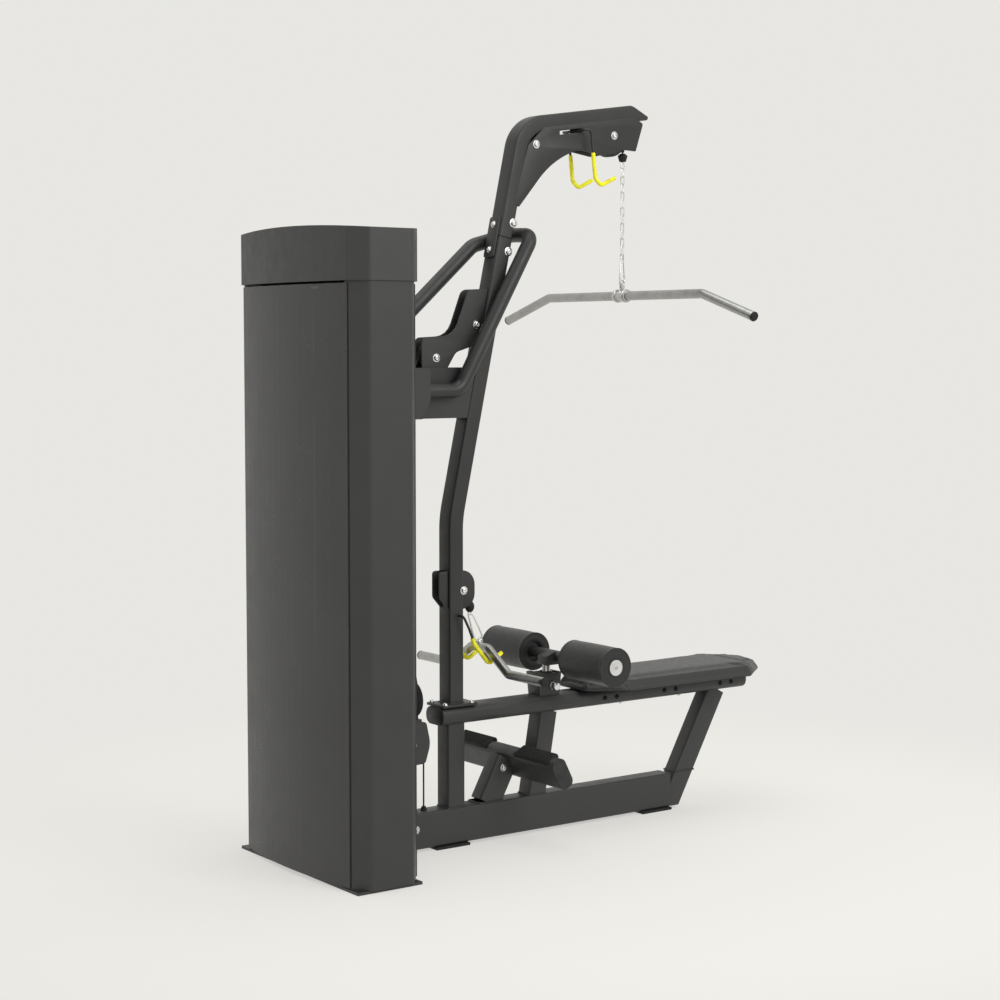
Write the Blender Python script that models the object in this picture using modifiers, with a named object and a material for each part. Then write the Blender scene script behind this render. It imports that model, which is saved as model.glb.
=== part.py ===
"""Dual lat pulldown and low row machine with a shrouded weight tower.

Frame: +X runs from the weight tower to the bench end, +Y to the machine's left as seen from the tower,
+Z up.  The origin is on the floor, on the middle plane, level with the tower's rear seams.  Metres.
"""
import math

import bmesh
import bpy
from mathutils import Matrix, Vector

GAP = 0.0003                      # clearance between pieces that touch

# Weight tower
TOWER_DEPTH = 0.210               # between the rear and front seams
TOWER_HALF = 0.330                # half width over the pillars
SEAM_HALF = 0.281                 # half width between the seams
TOWER_LOW = 0.0085
TOWER_TOP = 1.643                 # top of the shroud, underside of the cap
CAP_TOP = 1.795
CAP_CROWN = 0.012                 # how far the cap's top falls away at the sides
BULGE = 0.025                     # how far the curved covers stand out in the middle
SHEET = 0.004                     # cover thickness
PILLAR_SHEET = 0.003
BASE_THICK = 0.008
PIN_OPENING_HALF = 0.065          # half width of the opening in the front cover

# Weight stack and guide rods
STACK_X = 0.105
ROD_SPREAD = 0.090
ROD_R = 0.0125
ROD_LOW = 0.085
ROD_TOP = 1.5595
STACK_HALF_X = 0.060
STACK_HALF_Y = 0.135
STACK_LOW = 0.1105
WEIGHT = 0.0254                   # thickness of one plate
RESTING = 14
LIFTED = 5
HEAD_THICK = 0.019
STEM_R = 0.0120
BORE_R = 0.0145
PIN_R = 0.0050
PIN_HOLE_R = 0.0062

# Frame tubes
BEAM_HALF = 0.0315
BEAM_LOW = 0.009
BEAM_TOP = 0.116
WALL = 0.003
PILLAR_X = 0.5205
PILLAR_HALF = 0.030
RAIL_LOW = 0.364
RAIL_TOP = 0.417
RAIL_HALF = 0.045
RAIL_REAR = 0.462
RAIL_FRONT = 1.655
UPRIGHT_X = 0.522
UPRIGHT_HALF_Y = 0.030
UPRIGHT_DEPTH = 0.050
FLANGE_TOP = 0.4253
LEAN = 0.2165                     # the upper upright's forward travel for each metre of height
BEND_Z = 0.969                    # where the vertical and leaning centre lines meet
JOINT_Z = 1.788                   # where the boom is bolted on

# Pulleys: centre x, centre z, radius to the cable's centre line
CABLE_R = 0.0025
FRONT_PULLEY = (1.105, 2.107, 0.058)
CORNER_PULLEY = (0.809, 2.064, 0.048)
UPPER_LINK_PULLEY = (0.600, 1.533, 0.045)
LOWER_LINK_PULLEY = (0.458, 1.436, 0.045)
TURN_LINK_PULLEY = (0.405, 1.315, 0.045)
HEAD_PULLEY = (0.150, 1.660, 0.045)
ROW_PULLEY = (0.546, 0.757, 0.042)
BASE_PULLEY = (0.375, 0.069, 0.048)
TURN_BASE_PULLEY = (0.474, 0.051, 0.030)
BLOCK_LOWER = (0.375, 0.315, 0.048)
BLOCK_UPPER_X = 0.3775
BLOCK_UPPER_Z = 0.449
BLOCK_UPPER_R = 0.048
FLANGE = 0.0045                   # pulley rim beyond the cable's centre line
PULLEY_HALF = 0.011
CHEEK_IN = 0.0155                 # pulley side plates, inner and outer faces from the middle plane
CHEEK_OUT = 0.0195
AXLE_R = 0.0060

# Lat bar and its hanging line
LAT_X = FRONT_PULLEY[0] + FRONT_PULLEY[2]
LAT_BAR_Z = 1.6236
LAT_ELBOW = 0.371
LAT_END = 0.597
LAT_DROP = 0.071
BAR_R = 0.014

# Row bar
ROW_X = 0.626
ROW_Z = 0.580

# Bar hooks: where each pair's cross rod passes through the frame (x, z)
HOOK_HALF = 0.0555
HIGH_HOOK = (0.9725, 2.1148)
LOW_HOOK = (0.528, 0.684)

# Thigh hold-down
THIGH_X = 0.901
THIGH_Z = 0.530
POST_X = 0.872
ROLLER_R = 0.060
ROLLER_IN = 0.096
ROLLER_OUT = 0.300

# Bench
SEAT_LOW = 0.4195
SEAT_TOP = 0.462
SEAT_HALF_LOW = 0.150
SEAT_HALF_TOP = 0.136

PAINT = ((0.030, 0.030, 0.031), 0.45, 0.0)
SHROUD = ((0.050, 0.050, 0.050), 0.42, 0.0)
SMOKED = ((0.035, 0.036, 0.036), 0.15, 0.0)
STEEL = ((0.62, 0.62, 0.61), 0.28, 1.0)
IRON = ((0.020, 0.020, 0.020), 0.60, 0.0)
RUBBER = ((0.012, 0.012, 0.012), 0.75, 0.0)
NYLON = ((0.022, 0.022, 0.023), 0.40, 0.0)
CABLE = ((0.015, 0.015, 0.015), 0.45, 0.0)
YELLOW = ((0.86, 0.82, 0.02), 0.55, 0.0)
HIDE = ((0.030, 0.030, 0.032), 0.60, 0.0)

parts = None
cutters = None


def start():
    """Empty the scene and make the two collections."""
    global parts, cutters
    for obj in list(bpy.data.objects):
        bpy.data.objects.remove(obj, do_unlink=True)
    parts = bpy.data.collections.new("lat_pulldown_machine")
    cutters = bpy.data.collections.new("cutters")
    bpy.context.scene.collection.children.link(parts)
    bpy.context.scene.collection.children.link(cutters)


def finish_of(obj, look):
    """Give an object its own Principled material."""
    colour, rough, metal = look
    mat = bpy.data.materials.new(obj.name)
    mat.use_nodes = True
    shader = mat.node_tree.nodes["Principled BSDF"]
    shader.inputs["Base Color"].default_value = (*colour, 1.0)
    shader.inputs["Roughness"].default_value = rough
    shader.inputs["Metallic"].default_value = metal
    mat.diffuse_color = (*colour, 1.0)
    obj.data.materials.clear()
    obj.data.materials.append(mat)


def node(obj, name, look, smooth=False):
    """Name a finished shape, put it with the parts and give it its look."""
    obj.name = name
    parts.objects.link(obj)
    finish_of(obj, look)
    if smooth:
        obj.data.shade_smooth()
        obj.data.set_sharp_from_angle(angle=math.radians(35))
    return obj


def from_bmesh(bm):
    """Turn a bmesh into an unlinked object."""
    bmesh.ops.recalc_face_normals(bm, faces=bm.faces[:])
    mesh = bpy.data.meshes.new("shape")
    bm.to_mesh(mesh)
    bm.free()
    return bpy.data.objects.new("shape", mesh)


def baked(obj):
    """The evaluated, welded mesh of a curve or of an object with modifiers, as a new object."""
    bpy.context.scene.collection.objects.link(obj)
    graph = bpy.context.evaluated_depsgraph_get()
    mesh = bpy.data.meshes.new_from_object(obj.evaluated_get(graph))
    bm = bmesh.new()
    bm.from_mesh(mesh)
    bm.transform(obj.matrix_world)
    bmesh.ops.remove_doubles(bm, verts=bm.verts[:], dist=0.00001)
    bpy.data.objects.remove(obj, do_unlink=True)
    return from_bmesh(bm)


def moved(obj, matrix):
    """Transform the mesh itself, so that the object stays unrotated and unscaled."""
    obj.data.transform(matrix)
    return obj


def placed(obj, point):
    """Put the object's origin at a point without moving its shape."""
    obj.data.transform(Matrix.Translation(-Vector(point)))
    obj.location = point
    return obj


def box(low, high, bevel=0.0):
    """A block between two corners, its edges rounded by bevel."""
    bm = bmesh.new()
    bmesh.ops.create_cube(bm, size=1.0)
    size = [b - a for a, b in zip(low, high)]
    middle = [(a + b) / 2 for a, b in zip(low, high)]
    bmesh.ops.scale(bm, vec=size, verts=bm.verts[:])
    bmesh.ops.translate(bm, vec=middle, verts=bm.verts[:])
    if bevel:
        bmesh.ops.bevel(bm, geom=bm.edges[:], offset=bevel, segments=2, profile=0.5, affect="EDGES")
    return from_bmesh(bm)


AXES = {
    "X": Matrix.Rotation(math.pi / 2, 4, "Y"),
    "Y": Matrix.Rotation(-math.pi / 2, 4, "X"),
    "Z": Matrix.Identity(4),
}


def rod(radius, length, centre, axis, sides=20):
    """A cylinder about an axis."""
    bm = bmesh.new()
    bmesh.ops.create_cone(bm, cap_ends=True, segments=sides, radius1=radius, radius2=radius, depth=length)
    bm.transform(Matrix.Translation(Vector(centre)) @ AXES[axis])
    return from_bmesh(bm)


def turned(profile, centre, axis, steps=20):
    """A turned shape: the profile lists (radius, height) down its outer side, top to bottom."""
    mesh = bpy.data.meshes.new("profile")
    closed = profile[0][0] > 0 and profile[-1][0] > 0
    edges = [(i, i + 1) for i in range(len(profile) - 1)]
    if closed:
        edges.append((len(profile) - 1, 0))
    mesh.from_pydata([(r, 0.0, h) for r, h in profile], edges, [])
    obj = bpy.data.objects.new("profile", mesh)
    screw = obj.modifiers.new("Screw", "SCREW")
    screw.steps = steps
    screw.render_steps = steps
    screw.use_merge_vertices = True
    screw.merge_threshold = 0.00001
    shape = baked(obj)
    return moved(shape, Matrix.Translation(Vector(centre)) @ AXES[axis])


def rounded(corners, steps=4, closed=True):
    """Points through corners (x, y[, z]), each given with a radius last, with arcs at the radii."""
    pts = [(Vector(c[:-1]), c[-1]) for c in corners]
    out = []
    last = len(pts) - 1
    for i, (p, radius) in enumerate(pts):
        if radius == 0 or (not closed and i in (0, last)):
            out.append(p)
            continue
        a = (pts[i - 1][0] - p).normalized()
        b = (pts[(i + 1) % len(pts)][0] - p).normalized()
        half = a.angle(b) / 2
        centre = p + (a + b).normalized() * (radius / math.sin(half))
        start_pt = p + a * (radius / math.tan(half))
        end_pt = p + b * (radius / math.tan(half))
        u = (start_pt - centre).normalized()
        w = end_pt - centre
        w = (w - u * w.dot(u)).normalized()
        sweep = math.pi - 2 * half
        for k in range(steps + 1):
            t = sweep * k / steps
            out.append(centre + radius * (u * math.cos(t) + w * math.sin(t)))
    return out


def spline_curve(points, closed, flat):
    """A curve object of one straight-segment spline."""
    data = bpy.data.curves.new("path", "CURVE")
    data.dimensions = "2D" if flat else "3D"
    spline = data.splines.new("POLY")
    spline.points.add(len(points) - 1)
    for slot, p in zip(spline.points, points):
        slot.co = (p[0], p[1], 0.0 if flat else p[2], 1.0)
    spline.use_cyclic_u = closed
    return bpy.data.objects.new("path", data)


PLANES = {
    "XY": Matrix.Identity(4),
    "XZ": Matrix.Rotation(math.pi / 2, 4, "X"),
    "YZ": Matrix(((0, 0, 1, 0), (1, 0, 0, 0), (0, 1, 0, 0), (0, 0, 0, 1))),
}


def plate(outline, low, high, plane="XZ"):
    """A flat outline made solid between two distances from its plane through the origin."""
    obj = spline_curve(outline, True, True)
    obj.data.fill_mode = "BOTH"
    obj.data.extrude = (high - low) / 2
    shape = baked(obj)
    middle = (low + high) / 2
    shift = {"XY": (0, 0, middle), "XZ": (0, middle, 0), "YZ": (middle, 0, 0)}[plane]
    return moved(shape, Matrix.Translation(shift) @ PLANES[plane])


def wire(points, radius, resolution=2):
    """A round wire or tube through 3D points."""
    obj = spline_curve(points, False, False)
    obj.data.bevel_depth = radius
    obj.data.bevel_resolution = resolution
    obj.data.use_fill_caps = True
    return baked(obj)


def bent_tube(path, half_y, depth, corner):
    """A rounded rectangular bar swept along a path in the XZ plane."""
    section = spline_curve(rounded([(-depth / 2, -half_y, corner), (depth / 2, -half_y, corner),
                                    (depth / 2, half_y, corner), (-depth / 2, half_y, corner)], 2), True, True)
    bpy.context.scene.collection.objects.link(section)
    obj = spline_curve(path, False, True)
    obj.data.bevel_mode = "OBJECT"
    obj.data.bevel_object = section
    obj.data.use_fill_caps = True
    shape = baked(obj)
    bpy.data.objects.remove(section, do_unlink=True)
    return moved(shape, PLANES["XZ"])


def combine(obj, other, operation):
    """Add a Boolean with a hidden helper shape."""
    other.name = "cutter"
    other.hide_render = True
    other.display_type = "WIRE"
    if other.name not in cutters.objects:
        cutters.objects.link(other)
    mod = obj.modifiers.new(operation.title(), "BOOLEAN")
    mod.operation = operation
    mod.object = other
    mod.solver = "EXACT"
    return obj


def cut(obj, *others):
    """Remove helper shapes from an object."""
    for other in others:
        combine(obj, other, "DIFFERENCE")
    return obj


def weld(obj, *others):
    """Join helper shapes to an object."""
    for other in others:
        combine(obj, other, "UNION")
    return obj


def line(a, b, count):
    """Evenly spaced values from a to b."""
    return [a + (b - a) * i / (count - 1) for i in range(count)]


def upright_x(z):
    """Centre line of the leaning upright at a height."""
    return UPRIGHT_X + LEAN * (z - BEND_Z)


def tangent(a, b):
    """Straight run between two wheels (x, z, radius, turn); turn is +1 anticlockwise, -1 clockwise."""
    (ax, az, ar, at), (bx, bz, br, bt) = a, b
    along = Vector((bx - ax, bz - az))
    k = (bt * br - at * ar) / along.length
    along.normalize()
    left = Vector((-along.y, along.x))
    normal = along * k + left * math.sqrt(max(0.0, 1 - k * k))
    return (Vector((ax, az)) - normal * (at * ar), Vector((bx, bz)) - normal * (bt * br))


def cable_path(wheels, step=math.radians(15)):
    """A cable's middle-plane route round wheels; the first and last are points with radius 0."""
    runs = [tangent(a, b) for a, b in zip(wheels, wheels[1:])]
    points = [runs[0][0]]
    for wheel, before, after in zip(wheels[1:-1], runs, runs[1:]):
        centre = Vector(wheel[:2])
        start_angle = math.atan2(*(before[1] - centre).yx)
        end_angle = math.atan2(*(after[0] - centre).yx)
        sweep = (end_angle - start_angle) * wheel[3] % (2 * math.pi) * wheel[3]
        count = max(2, math.ceil(abs(sweep) / step))
        for i in range(count + 1):
            t = start_angle + sweep * i / count
            points.append(centre + wheel[2] * Vector((math.cos(t), math.sin(t))))
    points.append(runs[-1][1])
    kept = [p for p, before in zip(points[1:], points) if (p - before).length > 0.0001]
    return [(p.x, 0.0, p.y) for p in [points[0]] + kept]


def pulley(name, wheel, spindle=0.0, axis="Y", centre=None):
    """A grooved wheel, on a bore or with its own spindle, its origin on its axis."""
    x, z, radius = wheel
    rim = radius + FLANGE
    floor = radius - CABLE_R - 0.0010
    groove = [(rim, PULLEY_HALF), (rim, PULLEY_HALF - 0.003), (floor, 0.0028), (floor, -0.0028),
              (rim, -PULLEY_HALF + 0.003), (rim, -PULLEY_HALF)]
    if spindle:
        profile = ([(0.0, spindle), (AXLE_R, spindle), (AXLE_R, PULLEY_HALF)] + groove
                   + [(AXLE_R, -PULLEY_HALF), (AXLE_R, -spindle), (0.0, -spindle)])
    else:
        bore = AXLE_R + GAP
        profile = [(bore, PULLEY_HALF)] + groove + [(bore, -PULLEY_HALF)]
    place = centre or (x, 0.0, z)
    shape = turned(profile, place, axis)
    return placed(node(shape, name, NYLON, smooth=True), place)


def axle(name, wheel, outer):
    """A pulley bolt with a head on each side plate."""
    x, z, _ = wheel
    head = outer + GAP
    profile = [(0.0, head + 0.006), (0.009, head + 0.005), (0.009, head), (AXLE_R, head),
               (AXLE_R, -head), (0.009, -head), (0.009, -head - 0.005), (0.0, -head - 0.006)]
    return node(turned(profile, (x, 0.0, z), "Y", 12), name, STEEL, smooth=True)


def axle_hole(wheel, reach=0.08):
    """Clearance hole for a pulley bolt or spindle."""
    return rod(AXLE_R + GAP, reach, (wheel[0], 0.0, wheel[1]), "Y", 18)


def curved_cover(face, sign, half, low, high):
    """A bowed sheet standing on a seam plane, bulging in the direction of sign."""
    ys = line(-half, half, 17)
    outer = [(face + sign * (SHEET + BULGE * (1 - (y / half) ** 2)), y) for y in ys]
    inner = [(face + sign * BULGE * (1 - (y / half) ** 2), y) for y in reversed(ys)]
    return plate(outer + inner, low, high, "XY")


def tower_outline(lip):
    """Plan outline of the tower, grown outwards by lip."""
    half = SEAM_HALF + lip / 2
    ys = line(-half, half, 13)
    rear = [(-SHEET - GAP - lip - BULGE * (1 - (y / half) ** 2), y) for y in reversed(ys)]
    front = [(TOWER_DEPTH + SHEET + GAP + lip + BULGE * (1 - (y / half) ** 2), y) for y in ys]
    side = TOWER_HALF + lip
    right = rounded([(rear[-1][0], -half, 0), (0.038 - lip / 2, -side, 0.016),
                     (TOWER_DEPTH - 0.038 + lip / 2, -side, 0.016), (front[0][0], -half, 0)], 3, False)
    left = [(x, -y) for x, y in reversed([tuple(p) for p in right])]
    return rear[:-1] + [tuple(p) for p in right] + front[1:-1] + left[:-1]


def make_tower():
    """Frame, covers, pillars and cap of the weight tower."""
    frame = box((-0.004, -0.322, 0.0), (0.204, 0.322, BASE_THICK))
    weld(frame, box((0.060, -0.300, 0.007), (0.150, 0.300, ROD_LOW - GAP)))
    for sign in (-1, 1):
        ys = sorted((sign * 0.288, sign * 0.318))
        weld(frame, box((0.085, ys[0], 0.006), (0.125, ys[1], 1.600)))
    weld(frame, box((0.120, -0.301, 1.338), (0.165, 0.301, 1.376)))
    weld(frame, box((0.084, -0.302, 1.560), (0.126, 0.302, 1.599)))
    for sign in (-1, 1):
        ys = sorted((sign * CHEEK_IN, sign * CHEEK_OUT))
        weld(frame, box((0.088, ys[0], 1.590), (0.200, ys[1], 1.704)))
    for sign in (-1, 1):
        ring = [(ROD_R + GAP, 0.012), (0.020, 0.012), (0.022, 0.008), (0.022, -0.014), (ROD_R + GAP, -0.014)]
        weld(frame, turned(ring, (STACK_X, sign * ROD_SPREAD, ROD_LOW + 0.0128), "Z", 16))
    cut(frame, box((0.097, -0.008, 1.55), (0.113, 0.008, 1.61)), axle_hole(HEAD_PULLEY))
    node(frame, "tower_frame", PAINT)

    for sign, name in ((-1, "pillar_near"), (1, "pillar_far")):
        seam = TOWER_DEPTH - PILLAR_SHEET
        outer = rounded([(0.0, 0.262, 0), (0.0, SEAM_HALF, 0.006), (0.038, TOWER_HALF, 0.016),
                         (TOWER_DEPTH - 0.038, TOWER_HALF, 0.016), (TOWER_DEPTH, SEAM_HALF, 0.006),
                         (TOWER_DEPTH, 0.262, 0)], 3, False)
        inner = rounded([(PILLAR_SHEET, 0.262, 0), (PILLAR_SHEET, SEAM_HALF - 0.001, 0.003),
                         (0.039, TOWER_HALF - PILLAR_SHEET, 0.013),
                         (TOWER_DEPTH - 0.039, TOWER_HALF - PILLAR_SHEET, 0.013),
                         (seam, SEAM_HALF - 0.001, 0.003), (seam, 0.262, 0)], 3, False)
        outline = [(p.x, sign * p.y) for p in outer + inner[::-1]]
        pillar = plate(outline, TOWER_LOW, TOWER_TOP, "XY")
        node(pillar, name, SHROUD, smooth=True)

    rear = curved_cover(-GAP, -1, 0.279, 0.012, 1.637)
    node(rear, "rear_panel", SMOKED, smooth=True)
    front = curved_cover(TOWER_DEPTH + GAP, 1, 0.279, 0.012, 1.637)
    cut(front, box((0.18, -PIN_OPENING_HALF, -0.02), (0.27, PIN_OPENING_HALF, 1.600)))
    node(front, "front_cover", SHROUD, smooth=True)

    cap = plate(tower_outline(SHEET), TOWER_TOP + GAP, CAP_TOP + 0.02, "XY")
    dome = [(y, CAP_TOP - CAP_CROWN * (y / TOWER_HALF) ** 2) for y in line(-0.36, 0.36, 13)]
    combine(cap, plate([(0.36, 1.60), *reversed(dome), (-0.36, 1.60)], -0.10, 0.30, "YZ"), "INTERSECT")
    cut(cap, plate(tower_outline(-SHEET), 1.60, CAP_TOP - 0.022, "XY"))
    edge = cap.modifiers.new("Bevel", "BEVEL")
    edge.width = 0.006
    edge.segments = 2
    edge.limit_method = "ANGLE"
    edge.angle_limit = math.radians(60)
    node(cap, "tower_cap", SHROUD, smooth=True)


def stack_body(low, count):
    """Iron plates in one block with a groove at each joint and a pin hole in each plate."""
    groove = 0.0012
    left = []
    right = []
    for i in range(count):
        z0 = low + i * WEIGHT
        z1 = z0 + WEIGHT
        right += [(STACK_X + STACK_HALF_X - groove, z0), (STACK_X + STACK_HALF_X, z0 + groove),
                  (STACK_X + STACK_HALF_X, z1 - groove)]
        left += [(STACK_X - STACK_HALF_X + groove, z0), (STACK_X - STACK_HALF_X, z0 + groove),
                 (STACK_X - STACK_HALF_X, z1 - groove)]
    top = low + count * WEIGHT
    right.append((STACK_X + STACK_HALF_X - groove, top))
    left.append((STACK_X - STACK_HALF_X + groove, top))
    block = plate(right + left[::-1], -STACK_HALF_Y, STACK_HALF_Y)
    middle = low + count * WEIGHT / 2
    for y, radius in ((-ROD_SPREAD, BORE_R), (0.0, BORE_R), (ROD_SPREAD, BORE_R)):
        cut(block, rod(radius, count * WEIGHT + 0.02, (STACK_X, y, middle), "Z", 16))
    for i in range(count):
        cut(block, rod(PIN_HOLE_R, 0.06, (0.143, 0.0, low + (i + 0.5) * WEIGHT), "X", 6))
    return block


def make_stack():
    """Guide rods, weight plates, selector stem, selector pin, bumpers and head pulley."""
    for sign, side in ((-1, "near"), (1, "far")):
        place = (STACK_X, sign * ROD_SPREAD, (ROD_LOW + ROD_TOP) / 2)
        node(rod(ROD_R, ROD_TOP - ROD_LOW, place, "Z"), f"guide_rod_{side}", STEEL, smooth=True)
    node(stack_body(STACK_LOW, RESTING), "stack_resting", IRON)
    lifted_low = STACK_LOW + RESTING * WEIGHT + GAP
    node(stack_body(lifted_low, LIFTED), "stack_lifted", IRON)

    head_low = lifted_low + LIFTED * WEIGHT + GAP
    head_top = head_low + HEAD_THICK
    pin_z = lifted_low + WEIGHT / 2
    stem = rod(STEM_R, head_top + 0.020 - 0.125, (STACK_X, 0.0, (head_top + 0.020 + 0.125) / 2), "Z")
    weld(stem, box((STACK_X - 0.052, -0.130, head_low), (STACK_X + 0.052, 0.130, head_top)))
    cut(stem, rod(BORE_R, 0.1, (STACK_X, -ROD_SPREAD, head_low), "Z"),
        rod(BORE_R, 0.1, (STACK_X, ROD_SPREAD, head_low), "Z"))
    cut(stem, rod(PIN_HOLE_R, 0.05, (STACK_X, 0.0, pin_z), "X", 12))
    node(stem, "selector_stem", STEEL, smooth=True)

    tip = STACK_X - 0.013
    knob = [(0.0, 0.102), (0.013, 0.102), (0.017, 0.098), (0.017, 0.088), (0.010, 0.082), (PIN_R, 0.081),
            (PIN_R, 0.003), (0.003, 0.0), (0.0, 0.0)]
    pin = turned(knob, (tip, 0.0, pin_z), "X", 16)
    placed(node(pin, "selector_pin", STEEL, smooth=True), (tip, 0.0, pin_z))
    pulley("head_pulley", HEAD_PULLEY, spindle=0.024)


def make_link():
    """The beam that ties the tower to the upright, its pulley plates and the loop tube."""
    low, high = 1.262, 1.408
    clear = UPRIGHT_DEPTH / 2 * math.sqrt(1 + LEAN ** 2) + 0.0008
    beam_end = [(upright_x(low) - clear, low), (upright_x(high) - clear, high)]
    link = plate([(0.300, low), *beam_end, (0.300, high)], -0.030, 0.030)
    inner_end = [(x - WALL, z) for x, z in ((beam_end[0][0], low + WALL), (beam_end[1][0], high - WALL))]
    cut(link, plate([(0.303, low + WALL), *inner_end, (0.303, high - WALL)], -0.027, 0.027))
    for sign in (-1, 1):
        ys = sorted((sign * 0.0245, sign * 0.0295))
        weld(link, box((0.168, ys[0], low + 0.002), (0.302, ys[1], high - 0.002)))
    weld(link, box((0.1655, -0.060, 1.300), (0.1725, 0.060, 1.400)))

    rear = upright_x(1.40) - clear
    foot = 1.406
    side = rounded([(0.409, foot, 0), (0.497, foot, 0), (0.527, 1.452, 0.03), (upright_x(1.475) - clear, 1.475, 0),
                    (upright_x(1.637) - clear, 1.637, 0), (0.572, 1.634, 0.025), (0.520, 1.500, 0.06),
                    (0.409, 1.494, 0.016)], 4)
    for sign in (-1, 1):
        ys = sorted((sign * CHEEK_IN, sign * CHEEK_OUT))
        weld(link, plate([tuple(p) for p in side], *ys))
    near_block = [(0.339, high - 0.001), (0.394, high - 0.001), (0.394, 1.318), (0.366, low + 0.001),
                  (0.339, low + 0.001)]
    weld(link, plate(near_block, -0.085, -0.029))
    weld(link, box((0.243, 0.024, 1.345), (0.296, 0.085, 1.460)))
    cut(link, box((0.345, -0.012, 1.25), (0.372, 0.012, 1.27)),
        box((0.372, -0.0125, 1.395), (0.514, 0.0125, 1.4085)),
        axle_hole(UPPER_LINK_PULLEY), axle_hole(LOWER_LINK_PULLEY), axle_hole(TURN_LINK_PULLEY))
    node(link, "link_beam", PAINT)
    pulley("upper_link_pulley", UPPER_LINK_PULLEY)
    axle("upper_link_axle", UPPER_LINK_PULLEY, CHEEK_OUT)
    pulley("lower_link_pulley", LOWER_LINK_PULLEY)
    axle("lower_link_axle", LOWER_LINK_PULLEY, CHEEK_OUT)
    pulley("turn_link_pulley", TURN_LINK_PULLEY, spindle=0.0295)

    side_y = 0.0575
    route = rounded([(0.3945, -side_y, 1.342, 0), (0.512, -side_y, 1.342, 0.050),
                     (0.776, -side_y, 1.795, 0.036), (0.770, side_y, 1.800, 0.036),
                     (0.640, side_y, 1.765, 0.060), (0.2965, side_y, 1.462, 0)], 6, False)
    tube = wire(route, 0.0215, 3)
    cut(tube, box((0.24, 0.02, 1.34), (0.2965, 0.09, 1.47)))
    node(tube, "loop_tube", PAINT, smooth=True)


def upright_path(low, high, inset=0.0):
    """The upright's bent centre line between two heights."""
    corners = [(UPRIGHT_X, low, 0), (UPRIGHT_X, BEND_Z, 0.35), (upright_x(high), high, 0)]
    return [tuple(p) for p in rounded(corners, 6, False)]


def make_upright():
    """The bent upright with its foot flange and the row pulley's side plates."""
    post = bent_tube(upright_path(FLANGE_TOP - 0.004, JOINT_Z), UPRIGHT_HALF_Y, UPRIGHT_DEPTH, 0.006)
    weld(post, box((0.464, -0.044, RAIL_TOP + GAP), (0.586, 0.044, FLANGE_TOP), 0.0015))
    cheek = rounded([(0.467, 0.815, 0.010), (0.593, 0.815, 0.045), (0.593, 0.701, 0.045),
                     (0.500, 0.701, 0.020), (0.467, 0.738, 0.020)], 4)
    for sign in (-1, 1):
        ys = sorted((sign * CHEEK_IN, sign * CHEEK_OUT))
        weld(post, plate([tuple(p) for p in cheek], *ys))
    bore = bent_tube(upright_path(0.40, JOINT_Z + 0.05), UPRIGHT_HALF_Y - WALL, UPRIGHT_DEPTH - 2 * WALL, 0.003)
    hollow = cut(bore, box((0.44, -CHEEK_OUT, 0.70), (0.62, CHEEK_OUT, 0.816)))
    cut(post, hollow, box((0.47, -0.0145, 0.700), (0.62, 0.0145, 0.808)),
        box((0.45, -0.0145, 0.735), (0.50, 0.0145, 0.800)),
        box((0.600, -0.0145, 1.480), (0.648, 0.0145, 1.590)), axle_hole(ROW_PULLEY),
        rod(0.0044, 0.08, (LOW_HOOK[0], 0.0, LOW_HOOK[1]), "Y", 12))
    for x in (0.476, 0.574):
        for y in (-0.037, 0.037):
            weld(post, rod(0.006, 0.008, (x, y, FLANGE_TOP + 0.002), "Z", 6))
    node(post, "upright", PAINT)
    pulley("row_pulley", ROW_PULLEY)
    axle("row_axle", ROW_PULLEY, UPRIGHT_HALF_Y)


def boom_path(front):
    """The boom's centre line from the joint, round its bend and out to front."""
    rise = 0.150
    corner = (upright_x(2.117), 2.117)
    foot = (upright_x(JOINT_Z + 0.0008), JOINT_Z + 0.0008)
    end = (front, corner[1] + rise * (front - corner[0]))
    return [tuple(p) for p in rounded([(*foot, 0), (*corner, 0.095), (*end, 0)], 6, False)]


def make_boom():
    """The bent boom with its side plates, pulleys and the splice to the upright."""
    boom = bent_tube(boom_path(1.236), UPRIGHT_HALF_Y, UPRIGHT_DEPTH, 0.008)
    weld(boom, baked(make_splice()))
    lower = rounded([(0.744, 1.876, 0), (0.862, 2.012, 0.30), (0.965, 2.058, 0.10), (1.060, 2.044, 0.05),
                     (1.135, 2.060, 0.02), (1.190, 2.066, 0.004), (1.219, 2.152, 0.006)], 5, False)
    side = [tuple(p) for p in lower] + [(1.180, 2.166), (0.840, 2.116), (0.780, 2.060), (0.730, 1.900)]
    for sign in (-1, 1):
        ys = sorted((sign * 0.0272, sign * 0.0303))
        weld(boom, plate(side, *ys))
    inside = bent_tube(boom_path(1.165), UPRIGHT_HALF_Y - WALL, UPRIGHT_DEPTH - 2 * WALL, 0.004)
    cut(boom, inside,
        rod(FRONT_PULLEY[2] + 0.010, 0.029, (FRONT_PULLEY[0], 0.0, FRONT_PULLEY[1]), "Y", 32),
        rod(CORNER_PULLEY[2] + 0.010, 0.029, (CORNER_PULLEY[0], 0.0, CORNER_PULLEY[1]), "Y", 32),
        plate([(0.897, 2.0975), (0.981, 2.1101), (0.981, 2.1219), (0.897, 2.1093)], -0.06, 0.06),
        plate([(1.172, 2.2035), (1.300, 2.142), (1.300, 2.300), (1.172, 2.300)], -0.06, 0.06),
        axle_hole(FRONT_PULLEY), axle_hole(CORNER_PULLEY))
    node(boom, "boom", PAINT)
    pulley("front_pulley", FRONT_PULLEY)
    axle("front_axle", FRONT_PULLEY, 0.0303)
    pulley("corner_pulley", CORNER_PULLEY)
    axle("corner_axle", CORNER_PULLEY, 0.0303)


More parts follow.
